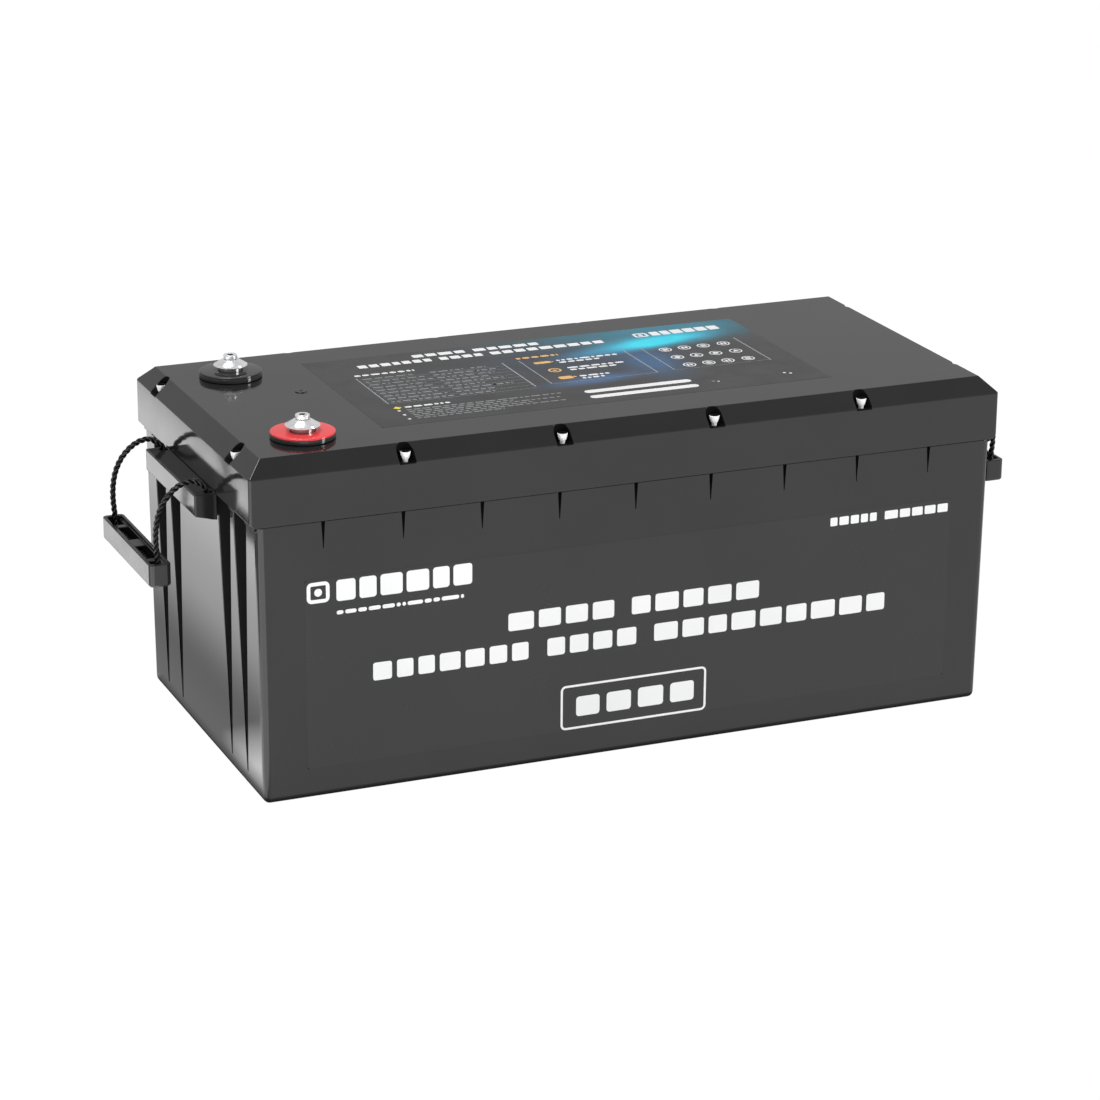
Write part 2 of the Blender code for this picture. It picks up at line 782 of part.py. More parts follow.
def make_busbars():
    """Three series links between the cells, and a tab with a barrel at each end of the pack."""
    low, high = BUSBAR_TOP - 0.0022, BUSBAR_TOP
    for index in range(CELL_COUNT - 1):
        y = CELL_TERMINAL_Y if index % 2 == 0 else -CELL_TERMINAL_Y
        link = box((cell_x(index) - 0.011, y - 0.012, low), (cell_x(index + 1) + 0.011, y + 0.012, high))
        add_piece(f"cell_link_{index + 1}", round_edges(link, upright, 0.004, 3), "copper")
    y = -CELL_TERMINAL_Y
    x = cell_x(0)
    positive = box((x - 0.034, y - 0.011, low), (x + 0.011, y + 0.011, high))
    add_piece("pack_positive_tab", round_edges(positive, upright, 0.004, 3), "copper")
    x = cell_x(CELL_COUNT - 1)
    negative = box((x - 0.011, y - 0.026, low), (x + 0.011, y + 0.011, high))
    add_piece("pack_negative_tab", round_edges(negative, upright, 0.004, 3), "copper")


def pack_ends():
    half = (CELL_COUNT - 1) / 2 * CELL_PITCH + CELL_X / 2
    return PACK_X - half, PACK_X + half


def make_pack_frame():
    low_x, high_x = pack_ends()
    gap = 2 * GAP
    for name, start in (("left", low_x - gap - END_PLATE), ("right", high_x + gap)):
        plate = box((start, -0.0868, CELL_BOTTOM), (start + END_PLATE, 0.0868, 0.2035))
        add_piece(f"end_plate_{name}", round_edges(plate, upright, 0.002, 2), "aluminium")
    reach_low, reach_high = low_x - gap - END_PLATE - gap, high_x + gap + END_PLATE + gap
    half_y = CELL_Y / 2 + gap
    band = 0.0008
    for name, z in (("lower", 0.055), ("upper", 0.150)):
        outer = box((reach_low - band, -half_y - band, z), (reach_high + band, half_y + band, z + 0.016))
        strap = add_piece(f"pack_strap_{name}", outer, "zinc_steel")
        inside = box((reach_low, -half_y, z - 0.01), (reach_high, half_y, z + 0.03))
        cut(strap, f"strap_{name}_inside", inside)
    pad = box((low_x - 0.008, -0.100, FLOOR + GAP), (high_x + 0.008, 0.100, CELL_BOTTOM - GAP))
    add_piece("base_pad", pad, "foam")
    right_foam = box((reach_high + 0.002, -0.095, FLOOR + GAP), (0.236, 0.095, 0.178))
    add_piece("foam_block_right", right_foam, "foam")
    left_foam = box((-0.236, -0.095, FLOOR + GAP), (-0.128, 0.095, 0.150))
    add_piece("foam_block_left", left_foam, "foam")


def make_bms():
    """The battery management system: a board on a finned heat sink, held up by a steel foot."""
    sink = box((BMS_X, -BMS_Y, BMS_LOW), (BMS_X + 0.005, BMS_Y, BMS_HIGH))
    heat_sink = add_piece("bms_heat_sink", sink, "aluminium")
    fins = bmesh.new()
    for index in range(7):
        y = (index - 3) * 0.023
        box((BMS_X + 0.004, y - 0.001, BMS_LOW), (BMS_X + 0.012, y + 0.001, BMS_HIGH), fins)
    join(heat_sink, "heat_sink_fins", fins)
    face = BMS_X - GAP
    board = add_piece("bms_board", box((face - 0.0016, -0.080, 0.033), (face, 0.080, 0.175)), "circuit_board")
    blocks = bmesh.new()
    for y, z in ((-0.055, 0.135), (0.055, 0.135)):
        box((face - 0.016, y - 0.012, z), (face - 0.001, y + 0.012, z + 0.024), blocks)
    for row in range(2):
        for column in range(6):
            y = -0.060 + column * 0.024
            z = 0.050 + row * 0.032
            box((face - 0.006, y - 0.006, z), (face - 0.001, y + 0.006, z + 0.016), blocks)
    box((face - 0.011, -0.010, 0.150), (face - 0.001, 0.010, 0.160), blocks)
    join(board, "board_components", blocks)
    foot = box((BMS_X - 0.030, -0.060, FLOOR + GAP), (BMS_X + 0.010, 0.060, FLOOR + GAP + 0.002))
    bracket = add_piece("bms_bracket", foot, "zinc_steel")
    wall = BMS_X + 0.005
    cradle = bmesh.new()
    box((BMS_X - 0.004, -0.060, FLOOR + GAP + 0.001), (wall + 0.0023, 0.060, BMS_LOW - GAP), cradle)
    join(bracket, "bracket_riser", cradle)
    return face


def make_cables(board_face):
    low_x, _ = pack_ends()
    tab_end = cell_x(0) - 0.034
    power = 0.004
    level = BUSBAR_TOP - 0.0011
    block_top = 0.159 + GAP
    block_x = board_face - 0.0085
    positive = [
        (tab_end - GAP, -CELL_TERMINAL_Y, level),
        (tab_end - 0.005, -CELL_TERMINAL_Y, level),
        (tab_end - 0.018, -0.058, level - 0.0012),
        (tab_end - 0.045, -0.062, 0.205),
        (-0.160, -0.074, 0.193),
        (-0.188, -0.0765, 0.186),
        (-0.205, POSITIVE_Y, 0.188),
        (TERMINAL_X, POSITIVE_Y, 0.197),
        (TERMINAL_X, POSITIVE_Y, 0.203),
        (TERMINAL_X, POSITIVE_Y, POST_BOTTOM - GAP),
    ]
    tube("positive_cable", smooth_path(positive, 4), power, "cable_red")
    negative = [
        (block_x, 0.055, block_top),
        (block_x, 0.055, 0.163),
        (block_x, 0.055, 0.167),
        (block_x - 0.010, 0.058, 0.182),
        (-0.125, 0.064, 0.187),
        (-0.165, 0.0685, 0.185),
        (-0.198, NEGATIVE_Y, 0.186),
        (TERMINAL_X, NEGATIVE_Y, 0.197),
        (TERMINAL_X, NEGATIVE_Y, 0.203),
        (TERMINAL_X, NEGATIVE_Y, POST_BOTTOM - GAP),
    ]
    tube("negative_cable", smooth_path(negative, 4), power, "cable_black")
    last_x = cell_x(CELL_COUNT - 1)
    tab_y = -CELL_TERMINAL_Y - 0.026 - GAP
    pack_negative = [
        (last_x, tab_y, level + 0.0007),
        (last_x, tab_y - 0.0035, level + 0.0007),
        (last_x - 0.0005, tab_y - 0.0085, 0.2146),
        (last_x - 0.004, -0.0970, 0.2080),
        (last_x - 0.014, -0.0980, 0.1975),
        (0.085, -0.0980, 0.1870),
        (0.010, -0.0980, 0.1800),
        (-0.045, -0.0975, 0.1810),
        (-0.072, -0.0930, 0.1850),
        (block_x - 0.001, -0.0790, 0.1885),
        (block_x, -0.0620, 0.1820),
        (block_x, -0.055, 0.1680),
        (block_x, -0.055, 0.1630),
        (block_x, -0.055, block_top),
    ]
    tube("pack_negative_cable", smooth_path(pack_negative, 4), power, "cable_black")
    harness = [
        (board_face - 0.006, 0, 0.1603),
        (board_face - 0.006, 0, 0.175),
        (board_face - 0.003, 0.001, 0.200),
        (low_x - 0.010, 0.002, 0.2140),
        (low_x + 0.004, 0.003, 0.2160),
        (low_x + 0.020, 0.004, 0.2157),
        (PACK_X, 0.001, 0.2155),
        (last_x, -0.002, 0.2155),
    ]
    tube("sense_harness", smooth_path(harness, 4), 0.0022, "cable_black")


clear_scene()
parts = make_collection(COLLECTION)
tools = make_collection("cutters")
materials = {name: make_material(name) for name in MATERIALS}
make_case()
make_lid()
make_gasket()
make_lid_screws()
make_labels()
make_terminals()
make_vent_plug()
make_handles()
make_cells()
make_busbars()
make_pack_frame()
make_cables(make_bms())
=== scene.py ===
"""The looks of a deep cycle battery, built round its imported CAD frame.

Metres, +Z up, in the frame's own coordinates: the origin is the centre of the bottom face and
the terminals are at the -X end. Label artwork is laid out in millimetres on each label's plane.
"""

import math
import random

import bmesh
import bpy
import numpy as np
from mathutils import Matrix, Vector


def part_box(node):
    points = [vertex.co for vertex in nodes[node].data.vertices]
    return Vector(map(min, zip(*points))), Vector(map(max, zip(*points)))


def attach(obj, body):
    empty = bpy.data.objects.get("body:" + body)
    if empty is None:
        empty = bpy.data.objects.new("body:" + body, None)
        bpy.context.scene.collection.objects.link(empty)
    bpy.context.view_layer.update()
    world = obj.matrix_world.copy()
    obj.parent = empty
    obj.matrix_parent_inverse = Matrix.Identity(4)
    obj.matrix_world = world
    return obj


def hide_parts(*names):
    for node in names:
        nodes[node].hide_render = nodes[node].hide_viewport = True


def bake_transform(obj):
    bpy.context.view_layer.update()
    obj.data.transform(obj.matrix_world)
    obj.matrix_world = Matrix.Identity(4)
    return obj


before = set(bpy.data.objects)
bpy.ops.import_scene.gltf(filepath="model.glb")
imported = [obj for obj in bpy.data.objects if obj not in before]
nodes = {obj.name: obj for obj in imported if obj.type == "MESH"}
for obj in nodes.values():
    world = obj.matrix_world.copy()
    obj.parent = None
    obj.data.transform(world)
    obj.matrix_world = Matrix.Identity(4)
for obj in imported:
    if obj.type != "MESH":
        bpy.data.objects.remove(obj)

scene = bpy.context.scene
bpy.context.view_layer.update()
MM = 0.001

# Camera
AZIMUTH = math.radians(-22.837)
ELEVATION = math.radians(18.953)
ROLL = math.radians(0.421)
TARGET = Vector((-0.0107, 0, 0.1016))
DISTANCE = 2.4195
LENS = 117.34
SENSOR = 36

# The floor as reflections show it, as radiances where white is 1
FLOOR_SIDE = (
    # x and the radiance there, from far beyond the terminal end to the case's end wall
    (-1.20, 0.50),
    (-0.52, 0.50),
    (-0.485, 0.80),
    (-0.445, 2.1),
    (-0.41, 2.0),
    (-0.347, 1.35),
    (-0.290, 0.42),
    (-0.262, 0.50),
    (-0.250, 1.0),
)
# A brighter part beyond the terminal end and towards the front, which fades out over these x and y
CORNER_RADIANCE = 2.3
CORNER_FADE_X = (-0.27, -0.255)
CORNER_FADE_Y = (-0.055, 0.035)
# The case's foot and the shade round it: how bright it is there, and the distances over which it ends
FOOT_HALF_X, FOOT_HALF_Y = 0.2543, 0.1193
FOOT_SHADE = 0.08
FOOT_SHADE_ENDS = (0.001, 0.008)

# The sky's radiance low and overhead, and the heights of the view direction between them
SKY_LOW = 0.47
SKY_HIGH = 0.28
SKY_FADE_Z = (0.45, 0.90)

# Places of the moving and turned pieces
PIVOT_X, PIVOT_Z = 0.2750, 0.1960
VENT_PLUG_RISE = 0.0013
TERMINAL_X = sum(corner.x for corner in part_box("positive_terminal_ring")) / 2
LID_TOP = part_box("vent_plug")[1].z - VENT_PLUG_RISE
SCREW_NODES = [f"lid_screw_{number:02d}" for number in range(1, 13)]

# Rope: three strands laid together, between the case and the handle's grip
ROPE_RADIUS = 0.002
ROPE_LAY = 0.012
ROPE_Y = 0.048
STRAND_FILL = 0.96
KNOT_ROPE_RADIUS = 0.0015
KNOT_LAY = 0.008
KNOT_Z = 0.1757
ROPE_SMOOTH_ANGLE = 80

# The case's slits and the lid's screw notches, whose insides take a near-black colour as painted shade
SLIT_FLOOR_Y, SLIT_MOUTH_Y = 0.1165, 0.1192
SLIT_LOW_Z, SLIT_HIGH_Z = 0.160, 0.190
SLITS_HALF_X = 0.25
NOTCH_REACH = 0.0062
NOTCH_LOW_Z = 0.2146

# Rounding a CAD mesh. Only narrow faces that meet at a curve's angles shade smooth.
MERGE_DISTANCE = 0.000002
FLAT_ANGLE = math.radians(0.4)
SHARP_ANGLE = math.radians(24)
ROUND_STEPS = 3
SMALL_FEATURE = 0.35
CURVE_ANGLES = (math.radians(3), math.radians(20))
NARROW_FACE = 0.004

# Corners round a small or large turned piece
SMALL_SIDES, LARGE_SIDES = 48, 96
TURNED_SMOOTH_ANGLE = 30

# Labels: the thickness of ink, and the height at which it starts over the recess's edge
INK = 0.00006
INK_GAP = 0.00014
# A film laps over its recess's edge. The lip and its chamfer are in millimetres, the heights in metres.
LIP = 0.55
LIP_CHAMFER = 0.05
LIP_FOOT = (0.00006, 0.00008)
FILM_RISE = 0.00012
FILM_RISE_AT_EDGE = 0.00010


# Node helpers


def new_material(name):
    """A node material, its node tree and its Principled BSDF."""
    material = bpy.data.materials.new(name)
    material.use_nodes = True
    tree = material.node_tree
    return material, tree, tree.nodes["Principled BSDF"]


def add_node(tree, kind, **values):
    """A node with properties and input values set by name."""
    node = tree.nodes.new(kind)
    for key, value in values.items():
        if hasattr(node, key):
            setattr(node, key, value)
        else:
            node.inputs[key.replace("_", " ")].default_value = value
    return node


def feed(tree, socket, value):
    """Links an input to the output of a node, or sets it to a constant."""
    if isinstance(value, bpy.types.NodeSocket):
        tree.links.new(value, socket)
    else:
        socket.default_value = value


def calculate(tree, operation, *values, clamp=False):
    """The result of a Math node on one or two values, each a number or the output of a node."""
    node = add_node(tree, "ShaderNodeMath", operation=operation, use_clamp=clamp)
    for socket, value in zip(node.inputs, values):
        feed(tree, socket, value)
    return node.outputs[0]


def object_coordinates(tree):
    return add_node(tree, "ShaderNodeTexCoord").outputs["Object"]


def noise(tree, vector, scale, detail=2.0, roughness=0.5):
    node = add_node(tree, "ShaderNodeTexNoise", Scale=scale, Detail=detail, Roughness=roughness)
    tree.links.new(vector, node.inputs["Vector"])
    return node.outputs["Fac"]


def remap(tree, value, low, high, from_low=0.3, from_high=0.7):
    node = tree.nodes.new("ShaderNodeMapRange")
    limits = {"From Min": from_low, "From Max": from_high, "To Min": low, "To Max": high}
    for key, number in limits.items():
        node.inputs[key].default_value = number
    tree.links.new(value, node.inputs["Value"])
    return node.outputs["Result"]


# A Mix node has inputs A and B of each kind under the same names, so these are their numbers
NUMBER_A, NUMBER_B, NUMBER_OUT = 2, 3, 0
COLOUR_A, COLOUR_B, COLOUR_OUT = 6, 7, 2


def blend_colours(tree, factor, low, high):
    """Mixes two colours, each an RGB triple or the output of a node."""
    node = add_node(tree, "ShaderNodeMix", data_type="RGBA")
    tree.links.new(factor, node.inputs["Factor"])
    for number, value in ((COLOUR_A, low), (COLOUR_B, high)):
        feed(tree, node.inputs[number], (*value, 1) if isinstance(value, tuple) else value)
    return node.outputs[COLOUR_OUT]


def paint(tree, shader, colour, roughness):
    tree.links.new(colour, shader.inputs["Base Color"])
    tree.links.new(roughness, shader.inputs["Roughness"])


def add_bump(tree, shader, height, distance, strength=1.0):
    node = add_node(tree, "ShaderNodeBump", Strength=strength, Distance=distance)
    tree.links.new(height, node.inputs["Height"])
    tree.links.new(node.outputs["Normal"], shader.inputs["Normal"])


def moulded(name, dark, light, roughness, grain=900, relief=0.00001, specular=0.5):
    """A moulded or printed surface: fine grain, and slow changes of tone and polish."""
    material, tree, shader = new_material(name)
    place = object_coordinates(tree)
    tone = noise(tree, place, scale=14, detail=3)
    colour = blend_colours(tree, remap(tree, tone, 0, 1), dark, light)
    polish = noise(tree, place, scale=45, detail=4, roughness=0.6)
    paint(tree, shader, colour, remap(tree, polish, *roughness))
    shader.inputs["Specular IOR Level"].default_value = specular
    add_bump(tree, shader, noise(tree, place, grain), relief)
    return material


def metal(name, dark, light, roughness, rings=0.0, scratches=600, relief=0.000004, metallic=1.0):
    """Bare or plated metal: turned rings about the piece's own axis, or fine scratches."""
    material, tree, shader = new_material(name)
    place = object_coordinates(tree)
    tone = noise(tree, place, scale=160, detail=4, roughness=0.6)
    colour = blend_colours(tree, remap(tree, tone, 0, 1), dark, light)
    polish = noise(tree, place, scale=90, detail=3)
    paint(tree, shader, colour, remap(tree, polish, *roughness))
    shader.inputs["Metallic"].default_value = metallic
    if rings:
        wave = add_node(
            tree,
            "ShaderNodeTexWave",
            wave_type="RINGS",
            rings_direction="Z",
            Scale=rings,
            Distortion=0.6,
            Detail=2.0,
        )
        tree.links.new(place, wave.inputs["Vector"])
        add_bump(tree, shader, wave.outputs["Fac"], relief, strength=0.6)
    else:
        add_bump(tree, shader, noise(tree, place, scratches, detail=3), relief)
    return material


def rope_material():
    """Black cord: yarns wind round each strand, with loose fibres between them; the colour is darker in
    the hollows between yarns as painted shade.
    """
    material, tree, shader = new_material("laid_rope")
    uv = add_node(tree, "ShaderNodeTexCoord").outputs["UV"]
    yarns = add_node(
        tree, "ShaderNodeTexWave", bands_direction="DIAGONAL", Scale=1.9, Distortion=1.2, Detail=3.0
    )
    tree.links.new(uv, yarns.inputs["Vector"])
    fibres = noise(tree, object_coordinates(tree), scale=2600, detail=4, roughness=0.7)
    # Painted shade: darker where the yarn bands sink
    shade = blend_colours(tree, yarns.outputs["Fac"], (0.003, 0.003, 0.0032), (0.010, 0.010, 0.0105))
    paint(tree, shader, shade, remap(tree, fibres, 0.20, 0.38))
    shader.inputs["Specular IOR Level"].default_value = 0.5
    height = calculate(tree, "ADD", yarns.outputs["Fac"], fibres)
    add_bump(tree, shader, height, distance=0.00012, strength=0.7)
    return material


def foam_material():
    """Grey foam with open pores, darker towards each pore's middle as painted shade."""
    material, tree, shader = new_material("packing_foam")
    place = object_coordinates(tree)
    cells = add_node(tree, "ShaderNodeTexVoronoi", Scale=700.0)
    tree.links.new(place, cells.inputs["Vector"])
    pore = cells.outputs["Distance"]
    depth = remap(tree, pore, 0, 1, from_low=0.0, from_high=0.6)
    # Painted shade: the colour darkens where the pores sink in
    shade = blend_colours(tree, depth, (0.03, 0.03, 0.033), (0.12, 0.12, 0.125))
    tree.links.new(shade, shader.inputs["Base Color"])
    shader.inputs["Roughness"].default_value = 0.95
    add_bump(tree, shader, pore, distance=0.0004, strength=0.8)
    return material


def board_material():
    """A green circuit board with copper tracks under its lacquer."""
    material, tree, shader = new_material("board_lacquer")
    place = object_coordinates(tree)
    tracks = add_node(
        tree,
        "ShaderNodeTexBrick",
        Scale=95.0,
        Mortar_Size=0.06,
        Color1=(0.010, 0.11, 0.045, 1),
        Color2=(0.014, 0.13, 0.055, 1),
        Mortar=(0.035, 0.24, 0.10, 1),
    )
    turn = add_node(tree, "ShaderNodeMapping", Rotation=(0, math.pi / 2, 0))
    tree.links.new(place, turn.inputs["Vector"])
    tree.links.new(turn.outputs["Vector"], tracks.inputs["Vector"])
    polish = noise(tree, place, scale=60)
    paint(tree, shader, tracks.outputs["Color"], remap(tree, polish, 0.28, 0.42))
    add_bump(tree, shader, tracks.outputs["Fac"], distance=0.00003)
    return material


def glow(tree, place, centre, reach, strength):
    """A soft elliptical patch on the top label, 0 outside its reach.

    centre is x, y and a turn in degrees, and reach is the ellipse's half width and half height,
    all in millimetres but the turn.
    """
    x, y, turn = centre
    mapping = add_node(
        tree,
        "ShaderNodeMapping",
        vector_type="TEXTURE",
        Location=(x * MM, y * MM, LID_TOP),
        Rotation=(0, 0, math.radians(turn)),
        Scale=(reach[0] * MM, reach[1] * MM, 1),
    )
    tree.links.new(place, mapping.inputs["Vector"])
    ball = add_node(tree, "ShaderNodeTexGradient", gradient_type="QUADRATIC_SPHERE")
    tree.links.new(mapping.outputs["Vector"], ball.inputs["Vector"])
    return calculate(tree, "MULTIPLY", ball.outputs["Fac"], strength, clamp=True)


TOP_GLOWS = (
    # centre, reach, strength, colour
    ((78, 84, 0), (165, 62), 2.2, (0.004, 0.115, 0.170)),
    ((100, 64, 4), (110, 44), 2.4, (0.006, 0.190, 0.280)),
    ((20, 26, 0), (130, 72), 1.1, (0.006, 0.028, 0.065)),
    ((62, 0, 0), (34, 62), 1.6, (0.010, 0.090, 0.220)),
    ((12, -25, 6), (60, 15), 2.0, (0.030, 0.110, 0.260)),
    ((45, 36, 10), (62, 17), 1.8, (0.010, 0.220, 0.400)),
    ((86, 46, 8), (70, 23), 2.6, (0.000, 0.480, 0.700)),
    ((86, 45, 10), (44, 14), 3.2, (0.000, 0.800, 0.980)),
)


def top_film_material():
    """Dark printed film with a blue and cyan glow towards its far right."""
    material, tree, shader = new_material("top_film")
    place = object_coordinates(tree)
    tone = remap(tree, noise(tree, place, scale=20, detail=3), 0, 1)
    colour = blend_colours(tree, tone, (0.0135, 0.0135, 0.014), (0.0165, 0.0165, 0.0170))
    wisps = remap(tree, noise(tree, place, scale=38, detail=4, roughness=0.6), 0.72, 1.15)
    for centre, reach, strength, shade in TOP_GLOWS:
        patch = glow(tree, place, centre, reach, strength)
        uneven = calculate(tree, "MULTIPLY", patch, wisps, clamp=True)
        colour = blend_colours(tree, uneven, colour, shade)
    polish = noise(tree, place, scale=50, detail=3)
    paint(tree, shader, colour, remap(tree, polish, 0.24, 0.32))
    add_bump(tree, shader, noise(tree, place, scale=1300), distance=0.000004)
    return material


# Each finish has a dark and a light tone, and a range of roughness
CASE_TONES = ((0.0165, 0.0165, 0.0168), (0.0205, 0.0205, 0.0210))
INK_ROUGHNESS = (0.42, 0.52)
INK_GRAIN = 1500

BLACK = moulded("case_plastic", *CASE_TONES, (0.09, 0.13))
LID_PLASTIC = moulded("lid_plastic", *CASE_TONES, (0.08, 0.13))
# Near-black and matte: painted shade inside the slits, the screw notches and the screw heads' recesses
RECESS_PAINTED_SHADE = moulded(
    "recess_painted_shade", (0.0030, 0.0030, 0.0030), (0.0045, 0.0045, 0.0045), (0.7, 0.9), specular=0.1
)
GRIP_PLASTIC = moulded(
    "grip_plastic", (0.017, 0.017, 0.0175), (0.023, 0.023, 0.0235), (0.16, 0.24), 1400, relief=0.00003
)
FLANGE_PLASTIC = moulded(
    "flange_plastic", (0.026, 0.026, 0.0265), (0.040, 0.040, 0.0405), (0.08, 0.13)
)
RED = moulded("terminal_red", (0.86, 0.045, 0.052), (0.93, 0.062, 0.070), (0.10, 0.16), grain=1200)
TOP_FILM = top_film_material()
FRONT_FILM = moulded(
    "front_film", (0.0205, 0.0205, 0.0210), (0.0235, 0.0235, 0.0240), (0.20, 0.28), grain=1300
)


def ink_finish(name, dark, light):
    return moulded(name, dark, light, INK_ROUGHNESS, INK_GRAIN)


WHITE_INK = ink_finish("white_ink", (0.86, 0.87, 0.87), (0.93, 0.93, 0.93))
GREY_INK = ink_finish("grey_ink", (0.20, 0.205, 0.21), (0.27, 0.275, 0.28))
RULE_INK = ink_finish("rule_ink", (0.30, 0.32, 0.34), (0.38, 0.40, 0.42))
ORANGE_INK = ink_finish("orange_ink", (0.80, 0.42, 0.12), (0.90, 0.55, 0.22))
YELLOW_INK = ink_finish("yellow_ink", (0.80, 0.62, 0.03), (0.90, 0.74, 0.08))
ZINC = metal("zinc_plate", (0.82, 0.83, 0.84), (0.94, 0.94, 0.95), (0.16, 0.26), rings=260, metallic=0.55)
# Zinc made near-white and almost non-metallic: a painted highlight for the screw cones' bright
# reflections
SCREW_PAINTED_HIGHLIGHT = metal(
    "screw_zinc_painted_highlight", (0.95, 0.95, 0.95), (0.99, 0.99, 0.99), (0.24, 0.34), rings=300, metallic=0.05
)
# A darker copy of zinc: painted shade in the terminal bolts' sockets
ZINC_PAINTED_SHADE = metal("zinc_painted_shade", (0.16, 0.16, 0.17), (0.26, 0.26, 0.27), (0.30, 0.45))
TINNED_BRASS = metal("tinned_brass", (0.30, 0.30, 0.30), (0.40, 0.40, 0.39), (0.20, 0.30), rings=300)
COPPER = metal("link_copper", (0.74, 0.36, 0.22), (0.88, 0.48, 0.32), (0.24, 0.38))
ALUMINIUM = metal("plate_aluminium", (0.66, 0.67, 0.68), (0.80, 0.81, 0.82), (0.30, 0.44))
ROPE = rope_material()
GASKET = moulded(
    "gasket_rubber", (0.014, 0.014, 0.014), (0.022, 0.022, 0.022), (0.62, 0.80), 1800, relief=0.00005
)
CELL_FILM = moulded(
    "cell_wrap", (0.035, 0.13, 0.38), (0.05, 0.17, 0.46), (0.30, 0.42), grain=500, relief=0.00004
)
BOARD = board_material()
CABLE_RED = moulded(
    "cable_red_jacket", (0.48, 0.016, 0.016), (0.58, 0.024, 0.022), (0.36, 0.48), grain=1000
)
CABLE_BLACK = moulded(
    "cable_black_jacket", (0.012, 0.012, 0.012), (0.018, 0.018, 0.018), (0.36, 0.48), grain=1000
)
FOAM = foam_material()


# Mesh helpers


def add_piece(name, mesh, materials, body=None, replaces=(), location=(0, 0, 0)):
    """Links a mesh as a piece."""
    obj = bpy.data.objects.new(name, mesh)
    obj.location = location
    scene.collection.objects.link(obj)
    for material in materials:
        mesh.materials.append(material)
    if body:
        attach(obj, body)
    if replaces:
        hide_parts(*replaces)
    return obj


def mesh_of(name, bm, smooth_angle=TURNED_SMOOTH_ANGLE):
    """A mesh that shades smooth over edges flatter than an angle in degrees."""
    mesh = bpy.data.meshes.new(name)
    bmesh.ops.recalc_face_normals(bm, faces=bm.faces)
    bm.to_mesh(mesh)
    bm.free()
    mesh.shade_smooth()
    mesh.set_sharp_from_angle(angle=math.radians(smooth_angle))
    return mesh


def is_curved(face):
    """Whether a narrow face meets a neighbour at so slight an angle that both belong to one curve."""
    least, most = CURVE_ANGLES
    slight = any(
        len(edge.link_faces) == 2 and least < edge.calc_face_angle(0) < most for edge in face.edges
    )
    longest = max(edge.calc_length() for edge in face.edges)
    return slight and face.calc_area() < NARROW_FACE * longest


def add_rounded(name, node, width, materials, body, fine=lambda middle: 1.0, smooth_angle=24):
    """Replaces a CAD node with a copy whose edges are rounded to width times fine(edge's middle)."""
    bm = bmesh.new()
    bm.from_mesh(nodes[node].data)
    bmesh.ops.remove_doubles(bm, verts=bm.verts, dist=MERGE_DISTANCE)
    bmesh.ops.dissolve_limit(bm, angle_limit=FLAT_ANGLE, verts=bm.verts, edges=bm.edges)
    weight = bm.edges.layers.float.new("bevel_weight_edge")
    for edge in bm.edges:
        if len(edge.link_faces) == 2 and edge.calc_face_angle(0) > SHARP_ANGLE:
            middle = (edge.verts[0].co + edge.verts[1].co) / 2
            room = min(1.0, edge.calc_length() / (2.5 * width))
            edge[weight] = room * fine(middle)
    curved = [is_curved(face) for face in bm.faces]
    mesh = mesh_of(f"{node}_shape", bm, smooth_angle)
    mesh.polygons.foreach_set("use_smooth", curved)
    obj = add_piece(name, mesh, materials, body, [node])
    modifier = obj.modifiers.new("round_edges", "BEVEL")
    modifier.limit_method = "WEIGHT"
    modifier.width = width
    modifier.segments = ROUND_STEPS
    modifier.use_clamp_overlap = False
    return obj


def plan_centre(node):
    """The middle of a CAD node's box in plan, at height 0."""
    low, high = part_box(node)
    return ((low.x + high.x) / 2, (low.y + high.y) / 2, 0)


def hexagon(circumradius):
    """The radius of a hexagon's outline at an angle."""

    def radius(angle):
        local = (angle + math.pi / 6) % (math.pi / 3) - math.pi / 6
        return circumradius * math.cos(math.pi / 6) / math.cos(local)

    return radius


def cross(reach, half_width):
    """The radius of a plus-shaped outline at an angle."""

    def arm(along, across):
        return min(reach / max(abs(along), 1e-6), half_width / max(abs(across), 1e-6))

    def radius(angle):
        c, s = math.cos(angle), math.sin(angle)
        return max(arm(c, s), arm(s, c))

    return radius


def lofted(rings, sides, marks=()):
    """A closed form through rings about +Z, each (radius or radius of angle, z).

    marks holds the index of each ring from which faces take the next material slot.
    """
    bm = bmesh.new()
    rows = []
    for radius, z in rings:
        row = []
        if radius == 0:
            row.append(bm.verts.new((0, 0, z)))
        else:
            for index in range(sides):
                angle = 2 * math.pi * index / sides
                r = radius(angle) if callable(radius) else radius
                row.append(bm.verts.new((r * math.cos(angle), r * math.sin(angle), z)))
        rows.append(row)
    pairs = list(zip(rows, rows[1:]))
    if len(rows[0]) > 1 and len(rows[-1]) > 1:
        pairs.append((rows[-1], rows[0]))
    for number, (upper, lower) in enumerate(pairs):
        slot = sum(number >= mark for mark in marks)
        for index in range(sides):
            after = (index + 1) % sides
            corners = [upper[index % len(upper)], upper[after % len(upper)]]
            corners += [lower[after % len(lower)], lower[index % len(lower)]]
            face = bm.faces.new(dict.fromkeys(corners))
            face.material_index = slot
    return bm


def arc(centre, radius, start, end, count):
    """(radius, z) points of an arc in a turned profile, from start to end in degrees."""
    points = []
    for index in range(count + 1):
        angle = math.radians(start + (end - start) * index / count)
        points.append((centre[0] + radius * math.cos(angle), centre[1] + radius * math.sin(angle)))
    return points


# Rope handles

